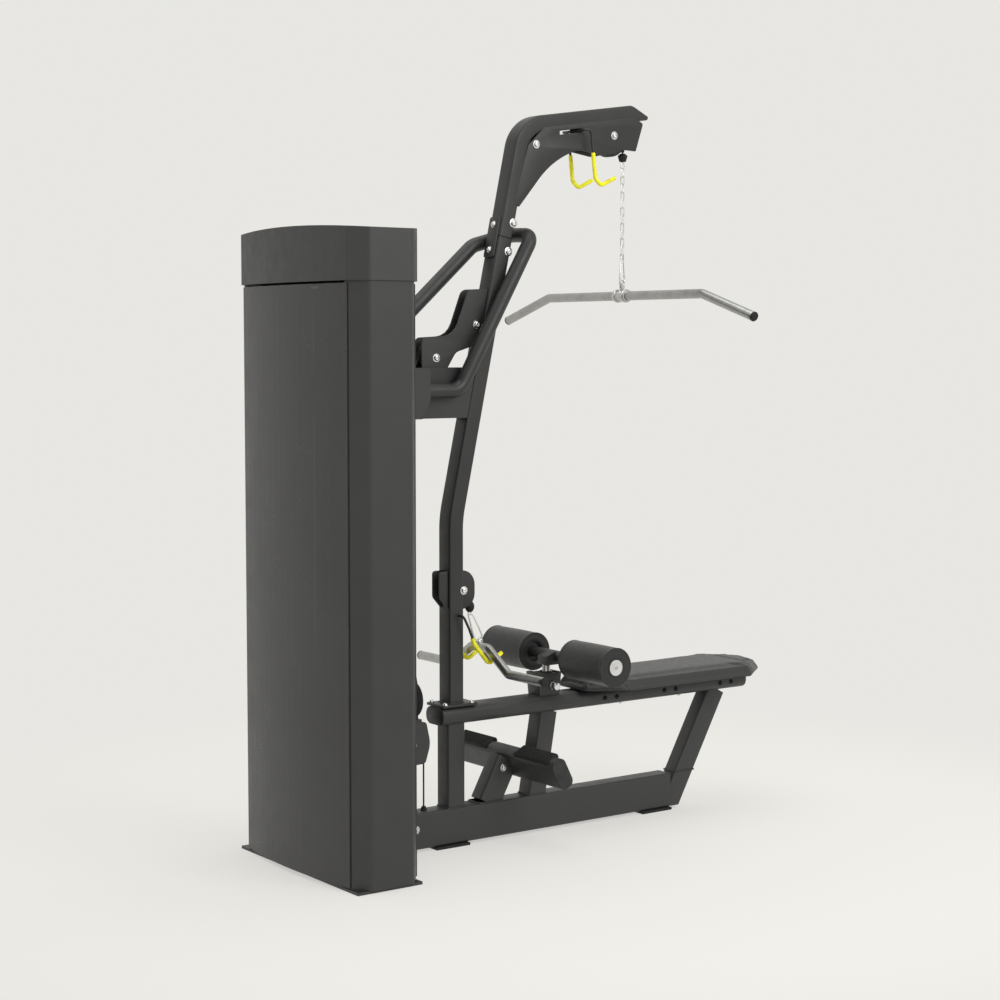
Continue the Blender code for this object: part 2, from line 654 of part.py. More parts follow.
def make_splice():
    """The bolted plate behind the joint between upright and boom."""
    back = UPRIGHT_DEPTH / 2 * math.sqrt(1 + LEAN ** 2) + 0.0006
    low, high = 1.730, 1.848
    splice = plate([(upright_x(low) - back, low), (upright_x(high) - back, high),
                    (upright_x(high) - back - 0.006, high), (upright_x(low) - back - 0.006, low)],
                   -0.024, 0.024)
    for z in (1.752, 1.826):
        weld(splice, rod(0.0075, 0.012, (upright_x(z) - back - 0.008, 0.0, z), "X", 6))
    weld(splice, box((upright_x(1.815) - back - 0.004, -0.022, 1.800), (upright_x(1.815) - 0.022, 0.022, 1.830)))
    return splice


def hook_wire(points):
    """A pair of hooks on one cross rod: the near half's points, mirrored to the far side."""
    near = points
    far = [(x, -y, z, r) for x, y, z, r in reversed(points)]
    return rounded(near + far, 3, False)


def make_hooks():
    """The two pairs of bar hooks."""
    y = -HOOK_HALF
    x, z = HIGH_HOOK
    upper = hook_wire([(1.086, y, 1.976, 0), (1.034, y, 1.952, 0.014), (1.012, y, 1.972, 0.014),
                       (0.996, y, z, 0.010), (x, y, z, 0.008)])
    node(wire(upper, 0.004), "upper_hooks", YELLOW, smooth=True)
    x, z = LOW_HOOK
    lower = hook_wire([(0.664, y, 0.566, 0), (0.618, y, 0.536, 0.016), (0.566, y, 0.600, 0.03),
                       (0.548, y, 0.645, 0.03), (x, y, z, 0.010)])
    node(wire(lower, 0.004), "lower_hooks", YELLOW, smooth=True)


def make_lat_line():
    """Everything between the front pulley and the lat bar."""
    run_top = FRONT_PULLEY[1] - GAP
    stop_top = 2.058
    node(rod(CABLE_R, run_top - stop_top, (LAT_X, 0, (run_top + stop_top) / 2), "Z", 8), "lat_run", CABLE)
    stop = [(0.0, stop_top - GAP), (0.008, stop_top - GAP), (0.014, stop_top - 0.004), (0.010, 2.034),
            (0.004, 2.032), (0.004, 1.956), (0.0, 1.956)]
    node(turned(stop, (LAT_X, 0, 0), "Z", 16), "lat_cable_end", RUBBER, smooth=True)
    chain = [(0.0, 1.9557)]
    links = 9
    chain_low = 1.734
    pitch = (1.9557 - chain_low) / links
    for i in range(links):
        z = 1.9557 - (i + 0.5) * pitch
        chain += [(0.0065, z + 0.003), (0.0065, z - 0.003)]
        if i < links - 1:
            chain.append((0.003, z - pitch / 2))
    chain.append((0.0, chain_low))
    node(turned(chain, (LAT_X, 0, 0), "Z", 8), "lat_chain", STEEL)
    clip = [(LAT_X, 0.0, 1.7335, 0), (LAT_X - 0.010, 0.0, 1.705, 0.006), (LAT_X - 0.010, 0.0, 1.676, 0.006),
            (LAT_X, 0.0, 1.668, 0.0), (LAT_X + 0.010, 0.0, 1.676, 0.006), (LAT_X + 0.010, 0.0, 1.705, 0.006)]
    node(wire(rounded(clip, 3, False), 0.0032), "lat_carabiner", STEEL, smooth=True)
    eye = [(0.0, 1.6640), (0.006, 1.6640), (0.009, 1.660), (0.009, 1.646), (0.0, 1.646)]
    node(turned(eye, (LAT_X, 0, 0), "Z", 12), "lat_swivel", STEEL, smooth=True)

    z = LAT_BAR_Z
    ends = [(LAT_X, -LAT_END, z - LAT_DROP, 0), (LAT_X, -LAT_ELBOW, z, 0.06), (LAT_X, LAT_ELBOW, z, 0.06),
            (LAT_X, LAT_END, z - LAT_DROP, 0)]
    bar = wire(rounded(ends, 5, False), BAR_R, 3)
    weld(bar, turned([(0.0, 0.0300), (0.0175, 0.0300), (0.0175, 0.0220), (0.0195, 0.0220), (0.0195, 0.0160),
                      (0.0175, 0.0160), (0.0175, -0.0160), (0.0195, -0.0160), (0.0195, -0.0220),
                      (0.0175, -0.0220), (0.0175, -0.0300), (0.0, -0.0300)], (LAT_X, 0, z), "Y", 20),
         rod(0.007, 0.016, (LAT_X, 0, z + 0.0140), "Z", 12))
    placed(node(bar, "lat_bar", STEEL, smooth=True), (LAT_X, 0, z))


def make_row_line():
    """Everything between the row pulley and the row bar."""
    x = ROW_PULLEY[0] + ROW_PULLEY[2]
    run_top = ROW_PULLEY[1] - GAP
    stop_top = 0.722
    node(rod(CABLE_R, run_top - stop_top, (x, 0, (run_top + stop_top) / 2), "Z", 8), "row_run", CABLE)
    ball = [(0.0, stop_top - GAP), (0.007, stop_top - 0.002), (0.0125, 0.712), (0.0140, 0.702),
            (0.0115, 0.692), (0.006, 0.686), (0.0, 0.686)]
    node(turned(ball, (x, 0, 0), "Z", 16), "row_cable_end", RUBBER, smooth=True)
    clip = [(x, 0.0, 0.6825, 0), (x - 0.004, 0.0, 0.650, 0.008), (ROW_X - 0.022, 0.0, ROW_Z + 0.030, 0.008),
            (ROW_X - 0.004, 0.0, ROW_Z + 0.0215, 0.006), (x + 0.024, 0.0, ROW_Z + 0.064, 0.008)]
    node(wire(rounded(clip, 3, False), 0.0032), "row_carabiner", STEEL, smooth=True)
    drop = 0.064
    ends = [(ROW_X, -0.320, ROW_Z - drop, 0), (ROW_X, -0.142, ROW_Z - drop, 0.03), (ROW_X, -0.040, ROW_Z, 0.03),
            (ROW_X, 0.040, ROW_Z, 0.03), (ROW_X, 0.142, ROW_Z - drop, 0.03), (ROW_X, 0.320, ROW_Z - drop, 0)]
    bar = wire(rounded(ends, 4, False), 0.0135, 3)
    weld(bar, rod(0.006, 0.016, (ROW_X, 0, ROW_Z + 0.0085), "Z", 12))
    placed(node(bar, "row_bar", STEEL, smooth=True), (ROW_X, 0, ROW_Z))


def make_cables():
    """The cables on their real routes round the pulleys."""
    start_pt = (FRONT_PULLEY[0] + FRONT_PULLEY[2], FRONT_PULLEY[1], 0.0, 1)
    left = TURN_LINK_PULLEY[0] - TURN_LINK_PULLEY[2]
    wheels = [start_pt, (*FRONT_PULLEY, 1), (*CORNER_PULLEY, 1), (*UPPER_LINK_PULLEY, -1),
              (*LOWER_LINK_PULLEY, 1), (*TURN_LINK_PULLEY, 1), (left, 1.290, 0.0, 1)]
    node(wire(cable_path(wheels), CABLE_R), "lat_cable", CABLE, smooth=True)

    wrap = [(HEAD_PULLEY[0] + HEAD_PULLEY[2] * math.cos(t), 0.0, HEAD_PULLEY[1] + HEAD_PULLEY[2] * math.sin(t))
            for t in line(0.0, math.pi, 13)]
    lift_top = HEAD_PULLEY[1] - GAP
    stem_top = STACK_LOW + (RESTING + LIFTED) * WEIGHT + 2 * GAP + HEAD_THICK + 0.020 + GAP
    node(rod(CABLE_R, lift_top - stem_top, (STACK_X, 0, (lift_top + stem_top) / 2), "Z", 8), "lift_run", CABLE)

    r = BLOCK_UPPER_R
    under = [(BLOCK_UPPER_X, r * math.cos(t), BLOCK_UPPER_Z - r * math.sin(t)) for t in line(0.0, math.pi, 13)]
    loop = [(left, 0.0, 1.2895), *under, *wrap]
    node(wire(loop, CABLE_R), "float_loop", CABLE, smooth=True)

    x, z, radius = BLOCK_LOWER
    over = [(x - radius * math.cos(t), 0.0, z + radius * math.sin(t)) for t in line(0.0, math.pi, 13)]
    loop = [(x - radius, 0.0, BASE_PULLEY[1] + GAP), *over, (x + radius, 0.0, BEAM_TOP + 0.0125)]
    node(wire(loop, CABLE_R), "row_loop", CABLE, smooth=True)
    wheels = [(ROW_PULLEY[0] + ROW_PULLEY[2], ROW_PULLEY[1], 0.0, 1), (*ROW_PULLEY, 1),
              (*TURN_BASE_PULLEY, -1), (*BASE_PULLEY, -1),
              (BASE_PULLEY[0] - BASE_PULLEY[2], BASE_PULLEY[1], 0.0, 1)]
    node(wire(cable_path(wheels), CABLE_R), "row_cable", CABLE, smooth=True)


def make_block():
    """The floating block that joins the two cables, and its wheels."""
    x, z, _ = BLOCK_LOWER
    side = rounded([(x - 0.042, 0.381, 0.012), (x + 0.045, 0.381, 0.012), (x + 0.060, z, 0.07),
                    (x + 0.042, 0.258, 0.012), (x - 0.042, 0.255, 0.012), (x - 0.056, z, 0.07)], 4)
    outline = [tuple(p) for p in side]
    block = plate(outline, -CHEEK_OUT, -CHEEK_IN)
    weld(block, plate(outline, CHEEK_IN, CHEEK_OUT))
    weld(block, box((x - 0.030, -CHEEK_OUT + 0.0005, 0.3725), (x + 0.030, CHEEK_OUT - 0.0005, 0.3895)))
    for sign in (-1, 1):
        xs = sorted((BLOCK_UPPER_X + sign * CHEEK_IN, BLOCK_UPPER_X + sign * CHEEK_OUT))
        weld(block, box((xs[0], -0.012, 0.380), (xs[1], 0.012, 0.462)))
    cut(block, axle_hole(BLOCK_LOWER), rod(AXLE_R + GAP, 0.08, (BLOCK_UPPER_X, 0, BLOCK_UPPER_Z), "X", 16))
    placed(node(block, "float_block", PAINT), (x, 0, z))
    pulley("float_lower_wheel", BLOCK_LOWER, spindle=0.0245)
    pulley("float_upper_wheel", (BLOCK_UPPER_X, BLOCK_UPPER_Z, BLOCK_UPPER_R), 0.0245, "X",
           (BLOCK_UPPER_X, 0.0, BLOCK_UPPER_Z))


FOOT_X = 0.735
FOOT_Z = 0.228
FOOT_LONG = 0.095
FOOT_THICK = 0.050
FOOT_TILT = math.atan2(0.457, 0.89)


def foot_section(grow):
    """The foot beam's flat oval outline, tilted, grown by a clearance."""
    long, thick = FOOT_LONG / 2 + grow, FOOT_THICK / 2 + grow
    flat = rounded([(-thick, -long, 0.020), (thick, -long, 0.020), (thick, long, 0.020),
                    (-thick, long, 0.020)], 4)
    turn = Matrix.Rotation(FOOT_TILT, 2)
    return [tuple(turn @ p + Vector((FOOT_X, FOOT_Z))) for p in flat]


def make_lower_frame():
    """Base beam, pillar, seat rail, posts and struts, with the base pulleys and feet."""
    frame = box((0.167, -BEAM_HALF, BEAM_LOW), (1.345, BEAM_HALF, BEAM_TOP), 0.003)
    weld(frame, box((0.1508, -0.048, 0.0105), (0.1690, 0.048, 0.1075)))
    weld(frame, box((PILLAR_X - PILLAR_HALF, -PILLAR_HALF, BEAM_TOP - 0.006),
                    (PILLAR_X + PILLAR_HALF, PILLAR_HALF, RAIL_LOW + 0.006)))
    oval = rounded([(-RAIL_HALF, RAIL_LOW, 0.022), (RAIL_HALF, RAIL_LOW, 0.022),
                    (RAIL_HALF, RAIL_TOP, 0.022), (-RAIL_HALF, RAIL_TOP, 0.022)], 4)
    weld(frame, plate([tuple(p) for p in oval], RAIL_REAR, RAIL_FRONT, "YZ"))
    weld(frame, plate([(0.786, 0.110), (0.850, 0.110), (0.8945, 0.370), (0.8305, 0.370)], -0.0295, 0.0295))
    weld(frame, plate([(1.312, 0.0095), (1.384, 0.0095), (1.583, 0.372), (1.503, 0.372)], -0.0290, 0.0290))
    weld(frame, plate([(0.600, 0.110), (0.686, 0.110), (0.745, 0.215), (0.667, 0.250)], -0.0285, 0.0285))
    cut(frame, plate(foot_section(GAP), -0.30, 0.30))
    weld(frame, plate([(0.826, 0.410), (0.900, 0.410), (0.908, 0.486), (0.818, 0.486)], -0.0305, 0.0305))
    for x in (1.090, 1.330, 1.565):
        weld(frame, box((x - 0.030, -0.105, RAIL_TOP - 0.004), (x + 0.030, 0.105, SEAT_LOW - GAP)))
    anchor = [(0.0, 0.012), (0.007, 0.012), (0.009, -0.0015), (0.0, -0.0015)]
    weld(frame, turned(anchor, (BLOCK_LOWER[0] + BLOCK_LOWER[2], 0, BEAM_TOP), "Z", 12))
    cut(frame,
        box((0.175, -BEAM_HALF + WALL, BEAM_LOW + WALL), (1.300, BEAM_HALF - WALL, BEAM_TOP - WALL)),
        box((PILLAR_X - PILLAR_HALF + WALL, -PILLAR_HALF + WALL, 0.050),
            (PILLAR_X + PILLAR_HALF - WALL, PILLAR_HALF - WALL, 0.450)),
        box((0.318, -0.0135, 0.100), (0.408, 0.0135, 0.130)),
        axle_hole(BASE_PULLEY), axle_hole(TURN_BASE_PULLEY),
        rod(0.0132, 0.20, (POST_X, 0.0, 0.4705), "Z", 24),
        rod(0.0064, 0.053, (POST_X, -0.0383, 0.444), "Y", 16))
    node(frame, "lower_frame", PAINT)
    pulley("base_pulley", BASE_PULLEY)
    axle("base_axle", BASE_PULLEY, BEAM_HALF)
    pulley("turn_base_pulley", TURN_BASE_PULLEY, spindle=0.0313)
    for x, name in ((0.503, "rubber_foot_tower"), (1.285, "rubber_foot_bench")):
        node(box((x - 0.060, -0.040, 0.0), (x + 0.060, 0.040, BEAM_LOW - GAP), 0.002), name, RUBBER)

    foot = plate(foot_section(0.0), -0.262, 0.262)
    for sign in (-1, 1):
        ys = sorted((sign * 0.070, sign * 0.235))
        pad = Matrix.Translation((FOOT_X, 0, FOOT_Z)) @ Matrix.Rotation(-FOOT_TILT, 4, "Y")
        tread = box((-FOOT_THICK / 2 + 0.004, ys[0], FOOT_LONG / 2 - 0.012),
                    (FOOT_THICK / 2 + 0.004, ys[1], FOOT_LONG / 2 + 0.004), 0.003)
        weld(foot, moved(tread, pad))
    node(foot, "foot_beam", PAINT, smooth=True)


def make_thigh():
    """The height-adjustable thigh hold-down, its pin and its two rollers."""
    post_low = 0.3715
    post = rod(0.0125, THIGH_Z - 0.008 - post_low, (POST_X, 0, (THIGH_Z - 0.008 + post_low) / 2), "Z", 24)
    tube = turned([(0.0, 0.3008), (0.0165, 0.3008), (0.0165, -0.3008), (0.0, -0.3008)],
                  (THIGH_X, 0, THIGH_Z), "Y", 20)
    saddle = plate([(POST_X - 0.015, 0.505), (THIGH_X + 0.005, 0.505), (THIGH_X + 0.012, 0.530),
                    (THIGH_X - 0.01, 0.546), (POST_X - 0.015, 0.530)], -0.022, 0.022)
    weld(post, saddle, tube)
    cut(post, box((POST_X - 0.0052, -0.0140, 0.383), (POST_X + 0.0052, -0.0022, 0.4495)))
    placed(node(post, "thigh_post", STEEL, smooth=True), (THIGH_X, 0, THIGH_Z))
    pin = [(0.0, 0.058), (0.010, 0.058), (0.012, 0.055), (0.012, 0.040), (0.0062, 0.037), (0.0060, 0.0142),
           (0.0046, 0.0138), (0.0046, 0.004), (0.0, 0.003)]
    shape = turned(pin, (0, 0, 0), "Y", 18)
    moved(shape, Matrix.Rotation(math.pi, 4, "Z"))
    moved(shape, Matrix.Translation((POST_X, 0, 0.444)))
    placed(node(shape, "thigh_pin", STEEL, smooth=True), (POST_X, 0, 0.444))
    bore = 0.0165 + GAP
    for sign, side in ((-1, "near"), (1, "far")):
        profile = [(bore, ROLLER_OUT), (ROLLER_R - 0.006, ROLLER_OUT), (ROLLER_R, ROLLER_OUT - 0.006),
                   (ROLLER_R, ROLLER_IN + 0.006), (ROLLER_R - 0.006, ROLLER_IN), (0.030, ROLLER_IN),
                   (0.030, ROLLER_IN + 0.012), (bore, ROLLER_IN + 0.012)]
        roller = turned(profile, (0, 0, 0), "Y", 32)
        if sign < 0:
            moved(roller, Matrix.Rotation(math.pi, 4, "Z"))
        moved(roller, Matrix.Translation((THIGH_X, 0, THIGH_Z)))
        placed(node(roller, f"thigh_roller_{side}", HIDE, smooth=True), (THIGH_X, 0, THIGH_Z))


def make_seat():
    """The bench pad: a long board with a tapered nose and clipped rear corners."""
    def outline(half, inset):
        nose = 0.965 + inset
        tail = 1.715 - inset
        corners = [(nose, -half * 0.45, 0.02), (1.075, -half, 0.05), (1.585, -half, 0.02),
                   (tail - 0.020, -half * 0.42, 0.02), (tail, 0.0, 0.15), (tail - 0.020, half * 0.42, 0.02),
                   (1.585, half, 0.02), (1.075, half, 0.05), (nose, half * 0.45, 0.02)]
        return [tuple(p) for p in rounded(corners, 3)]
    bm = bmesh.new()
    rings = []
    for half, inset, z in ((SEAT_HALF_LOW - 0.004, 0.004, SEAT_LOW), (SEAT_HALF_LOW, 0.0, SEAT_LOW + 0.008),
                           (SEAT_HALF_TOP + 0.003, 0.010, SEAT_TOP - 0.006), (SEAT_HALF_TOP, 0.014, SEAT_TOP)):
        rings.append([bm.verts.new((x, y, z)) for x, y in outline(half, inset)])
    for low, high in zip(rings, rings[1:]):
        for i in range(len(low)):
            j = (i + 1) % len(low)
            bm.faces.new((low[i], low[j], high[j], high[i]))
    bm.faces.new(rings[0][::-1])
    bm.faces.new(rings[-1])
    node(from_bmesh(bm), "seat_pad", HIDE, smooth=True)


start()
make_tower()
make_stack()
make_link()
make_upright()
make_boom()
make_hooks()
make_lat_line()
make_row_line()
make_cables()
make_block()
make_lower_frame()
make_thigh()
make_seat()
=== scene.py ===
import math

import bmesh
import bpy
from mathutils import Matrix, Vector, noise


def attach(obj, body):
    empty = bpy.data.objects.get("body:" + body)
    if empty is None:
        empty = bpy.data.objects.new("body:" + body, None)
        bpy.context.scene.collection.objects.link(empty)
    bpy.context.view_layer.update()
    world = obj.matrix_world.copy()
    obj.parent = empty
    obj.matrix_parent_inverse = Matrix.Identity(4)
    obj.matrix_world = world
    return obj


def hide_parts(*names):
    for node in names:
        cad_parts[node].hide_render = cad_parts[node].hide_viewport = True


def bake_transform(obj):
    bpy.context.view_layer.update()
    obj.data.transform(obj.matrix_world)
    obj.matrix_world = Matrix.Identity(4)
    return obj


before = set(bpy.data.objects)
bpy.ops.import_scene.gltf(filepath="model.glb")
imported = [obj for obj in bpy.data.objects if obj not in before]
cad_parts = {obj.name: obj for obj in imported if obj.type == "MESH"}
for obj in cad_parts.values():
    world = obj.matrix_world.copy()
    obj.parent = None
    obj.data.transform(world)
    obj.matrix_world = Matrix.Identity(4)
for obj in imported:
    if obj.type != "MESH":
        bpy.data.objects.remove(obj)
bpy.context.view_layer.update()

# --------------------------------------------------------------------------- camera
scene = bpy.context.scene
scene.view_settings.view_transform = "Standard"
heading = math.radians(54.094)
pitch = math.radians(-4.365)
look = Vector((math.cos(heading) * math.cos(pitch), math.sin(heading) * math.cos(pitch),
        math.sin(pitch)))
camera_data = bpy.data.cameras.new("camera")
camera_data.lens = 73.0
camera_data.sensor_width = 36.0
camera_data.clip_end = 100.0
camera = bpy.data.objects.new("camera", camera_data)
camera.location = (-2.8252, -4.8671, 1.4724)
camera.rotation_mode = "QUATERNION"
camera.rotation_quaternion = look.to_track_quat("-Z", "Y")
scene.collection.objects.link(camera)
scene.camera = camera

# --------------------------------------------------------------------------- dimensions, as in the CAD
FRONT_PULLEY = (1.105, 2.107, 0.058)
CORNER_PULLEY = (0.809, 2.064, 0.048)
UPPER_LINK_PULLEY = (0.600, 1.533, 0.045)
LOWER_LINK_PULLEY = (0.458, 1.436, 0.045)
TURN_LINK_PULLEY = (0.405, 1.315, 0.045)
HEAD_PULLEY = (0.150, 1.660, 0.045)
ROW_PULLEY = (0.546, 0.757, 0.042)
BASE_PULLEY = (0.375, 0.069, 0.048)
TURN_BASE_PULLEY = (0.474, 0.051, 0.030)
BLOCK_LOWER = (0.375, 0.315, 0.048)
BLOCK_UPPER = (0.3775, 0.449, 0.048)
CABLE_R = 0.0025
UPRIGHT_X = 0.522
LEAN = 0.2165
BEND_Z = 0.969
JOINT_Z = 1.788
LAT_X = 1.163
LAT_BAR_Z = 1.6236
ROW_X, ROW_Z = 0.626, 0.580
THIGH_X, THIGH_Z, POST_X = 0.901, 0.530, 0.872
FOOT_X, FOOT_Z = 0.735, 0.228
FOOT_TILT = math.atan2(0.457, 0.89)


def upright_x(z):
    return UPRIGHT_X + LEAN * (z - BEND_Z)


# --------------------------------------------------------------------------- materials
def new_material(name, base, rough, metal=0.0, coat=0.0, spec=0.5):
    mat = bpy.data.materials.new(name)
    mat.use_nodes = True
    tree = mat.node_tree
    shader = tree.nodes["Principled BSDF"]
    shader.inputs["Base Color"].default_value = (*base, 1.0)
    shader.inputs["Roughness"].default_value = rough
    shader.inputs["Metallic"].default_value = metal
    shader.inputs["Coat Weight"].default_value = coat
    shader.inputs["Specular IOR Level"].default_value = spec
    where = tree.nodes.new("ShaderNodeTexCoord")
    return mat, tree, shader, where.outputs["Object"]


def noise_at(tree, where, scale, detail=3.0, rough=0.55, distort=0.0, stretch=None):
    if stretch:
        mapping = tree.nodes.new("ShaderNodeMapping")
        mapping.inputs["Scale"].default_value = stretch
        tree.links.new(where, mapping.inputs["Vector"])
        where = mapping.outputs["Vector"]
    tex = tree.nodes.new("ShaderNodeTexNoise")
    tex.inputs["Scale"].default_value = scale
    tex.inputs["Detail"].default_value = detail
    tex.inputs["Roughness"].default_value = rough
    tex.inputs["Distortion"].default_value = distort
    tree.links.new(where, tex.inputs["Vector"])
    return tex.outputs["Fac"]


def ramp(tree, value, stops):
    node = tree.nodes.new("ShaderNodeValToRGB")
    node.color_ramp.interpolation = "EASE"
    for element, (pos, colour) in zip(node.color_ramp.elements, (stops[0], stops[-1])):
        element.position = pos
        element.color = (*colour, 1.0)
    for pos, colour in stops[1:-1]:
        element = node.color_ramp.elements.new(pos)
        element.color = (*colour, 1.0)
    tree.links.new(value, node.inputs["Fac"])
    return node.outputs["Color"]


def spread(tree, value, low, high, from_low=0.3, from_high=0.7):
    node = tree.nodes.new("ShaderNodeMapRange")
    node.inputs["From Min"].default_value = from_low
    node.inputs["From Max"].default_value = from_high
    node.inputs["To Min"].default_value = low
    node.inputs["To Max"].default_value = high
    tree.links.new(value, node.inputs["Value"])
    return node.outputs["Result"]


def bump(tree, shader, height, distance, strength=1.0, under=None):
    node = tree.nodes.new("ShaderNodeBump")
    node.inputs["Distance"].default_value = distance
    node.inputs["Strength"].default_value = strength
    tree.links.new(height, node.inputs["Height"])
    if under:
        tree.links.new(under, node.inputs["Normal"])
    tree.links.new(node.outputs["Normal"], shader.inputs["Normal"])
    return node.outputs["Normal"]


def blend_colour(tree, fac, a, b):
    node = tree.nodes.new("ShaderNodeMix")
    node.data_type = "RGBA"
    tree.links.new(fac, node.inputs["Factor"])
    for socket, value in (("A", a), ("B", b)):
        target = [s for s in node.inputs if s.name == socket and s.type == "RGBA"][0]
        if isinstance(value, tuple):
            target.default_value = (*value, 1.0)
        else:
            tree.links.new(value, target)
    return [s for s in node.outputs if s.type == "RGBA"][0]


def edge_mask(tree, low, high):
    """Where the surface is convex, as at a worn edge."""
    geometry = tree.nodes.new("ShaderNodeNewGeometry")
    return spread(tree, geometry.outputs["Pointiness"], 0.0, 1.0, low, high)


def paint(name, base, rough=0.42, vary=0.10, grain=1100.0, edge=None):
    """Powder coat: fine orange peel, faint blotches and slightly rubbed edges."""
    mat, tree, shader, where = new_material(name, base, rough, 0.0, 0.0, 0.45)
    dark = tuple(c * (1 - vary) for c in base)
    light = tuple(c * (1 + vary) for c in base)
    colour = ramp(tree, noise_at(tree, where, 7.0, 5.0), [(0.3, dark), (0.7, light)])
    fleck = ramp(tree, noise_at(tree, where, 620.0, 1.0), [(0.55, (0, 0, 0)), (0.75, (1, 1, 1))])
    colour = blend_colour(tree, fleck, colour, tuple(c * 1.22 for c in base))
    if edge:
        worn = edge_mask(tree, 0.53, 0.60)
        colour = blend_colour(tree, worn, colour, edge)
    tree.links.new(colour, shader.inputs["Base Color"])
    tree.links.new(spread(tree, noise_at(tree, where, 24.0, 4.0), rough - 0.05, rough + 0.07),
            shader.inputs["Roughness"])
    bump(tree, shader, noise_at(tree, where, grain, 2.0), 0.00012, 0.5)
    return mat


def metal_brushed(name, base, rough, stretch, depth=0.00004):
    """Bright bar stock with fine drawing lines along its length."""
    mat, tree, shader, where = new_material(name, base, rough, 1.0)
    lines = noise_at(tree, where, 900.0, 3.0, 0.6, 0.0, stretch)
    soft = noise_at(tree, where, 30.0, 4.0)
    colour = ramp(tree, soft, [(0.3, tuple(c * 0.88 for c in base)), (0.7, tuple(min(1.0,
            c * 1.06) for c in base))])
    tree.links.new(colour, shader.inputs["Base Color"])
    tree.links.new(spread(tree, lines, rough - 0.06, rough + 0.10), shader.inputs["Roughness"])
    bump(tree, shader, lines, depth, 0.6)
    return mat


def rubber(name, base, rough=0.7, grain=500.0):
    mat, tree, shader, where = new_material(name, base, rough, 0.0, 0.0, 0.35)
    colour = ramp(tree, noise_at(tree, where, 40.0, 5.0), [(0.3, tuple(c * 0.8 for c in base)), (0.7,
            tuple(c * 1.25 for c in base))])
    tree.links.new(colour, shader.inputs["Base Color"])
    tree.links.new(spread(tree, noise_at(tree, where, 60.0), rough - 0.08, rough + 0.08),
            shader.inputs["Roughness"])
    bump(tree, shader, noise_at(tree, where, grain, 3.0), 0.0002, 0.6)
    return mat


def vinyl(name, base, rough, cell=260.0):
    """Upholstery vinyl: pebbled leather grain over faint creases, with a soft sheen."""
    mat, tree, shader, where = new_material(name, base, rough, 0.0, 0.0, 0.45)
    shader.inputs["Sheen Weight"].default_value = 0.12
    shader.inputs["Sheen Roughness"].default_value = 0.45
    cells = tree.nodes.new("ShaderNodeTexVoronoi")
    cells.feature = "SMOOTH_F1"
    cells.inputs["Scale"].default_value = cell
    warp = noise_at(tree, where, 90.0, 3.0)
    mix = tree.nodes.new("ShaderNodeVectorMath")
    mix.operation = "SCALE"
    mix.inputs["Scale"].default_value = 1.0
    tree.links.new(where, mix.inputs[0])
    tree.links.new(mix.outputs["Vector"], cells.inputs["Vector"])
    creases = noise_at(tree, where, 16.0, 6.0, 0.62, 0.6)
    colour = ramp(tree, cells.outputs["Distance"], [(0.15, tuple(c * 1.10 for c in base)), (0.6,
            tuple(c * 0.78 for c in base))])
    colour = blend_colour(tree, spread(tree, creases, 0.0, 0.35), colour, tuple(c * 1.35 for c in base))
    tree.links.new(colour, shader.inputs["Base Color"])
    tree.links.new(spread(tree, warp, rough - 0.06, rough + 0.08), shader.inputs["Roughness"])
    first = tree.nodes.new("ShaderNodeBump")
    first.inputs["Distance"].default_value = 0.0012
    first.inputs["Strength"].default_value = 0.35
    tree.links.new(creases, first.inputs["Height"])
    bump(tree, shader, cells.outputs["Distance"], 0.0003, 0.5, first.outputs["Normal"])
    return mat


def smoked(name):
    """Smoked acrylic: mostly dark and glossy, with a little seen through it."""
    mat, tree, shader, where = new_material(name, (0.037, 0.037, 0.037), 0.30, 0.0, 0.0, 0.45)
    shader.inputs["Alpha"].default_value = 0.80
    colour = ramp(tree, noise_at(tree, where, 3.0, 3.0), [(0.3, (0.044, 0.044, 0.044)), (0.7, (0.050,
            0.050, 0.050))])
    tree.links.new(colour, shader.inputs["Base Color"])
    tree.links.new(spread(tree, noise_at(tree, where, 14.0, 4.0), 0.26, 0.36),
            shader.inputs["Roughness"])
    return mat


PAINT = paint("frame_paint", (0.019, 0.019, 0.0193), 0.44, edge=(0.034, 0.034, 0.034))
SHROUD = paint("shroud_paint", (0.030, 0.030, 0.030), 0.48, 0.05, 1500.0)
CAP = paint("cap_paint", (0.034, 0.034, 0.034), 0.46, 0.05, 1500.0)
SMOKED = smoked("smoked_panel")
STEEL = metal_brushed("bright_steel", (0.52, 0.52, 0.51), 0.26, (1.0, 1.0, 1.0))
# bar steel: partly a duller steel, and its base colour is lowered below bright steel as painted shade for darker
# reflections along the bars
BAR_STEEL = metal_brushed("bar_steel", (0.37, 0.37, 0.36), 0.30, (1.0, 0.02, 1.0))
BOLT_STEEL = metal_brushed("bolt_steel", (0.78, 0.78, 0.77), 0.20, (1.0, 1.0, 1.0))
IRON = paint("iron_paint", (0.030, 0.030, 0.030), 0.55, 0.15, 500.0, edge=(0.06, 0.06, 0.06))
RUBBER = rubber("black_rubber", (0.010, 0.010, 0.010))
NYLON = rubber("nylon", (0.020, 0.020, 0.021), 0.38, 900.0)
CAP_PLASTIC = rubber("cap_plastic", (0.022, 0.022, 0.021), 0.55, 900.0)
COAT = rubber("cable_coat", (0.014, 0.014, 0.014), 0.42, 900.0)
YELLOW = rubber("yellow_coat", (0.80, 0.76, 0.012), 0.50, 700.0)
HIDE = vinyl("seat_vinyl", (0.021, 0.021, 0.0215), 0.50)
ROLL_HIDE = vinyl("roller_vinyl", (0.011, 0.011, 0.0113), 0.46)
THREAD = rubber("thread", (0.028, 0.028, 0.028), 0.70, 900.0)


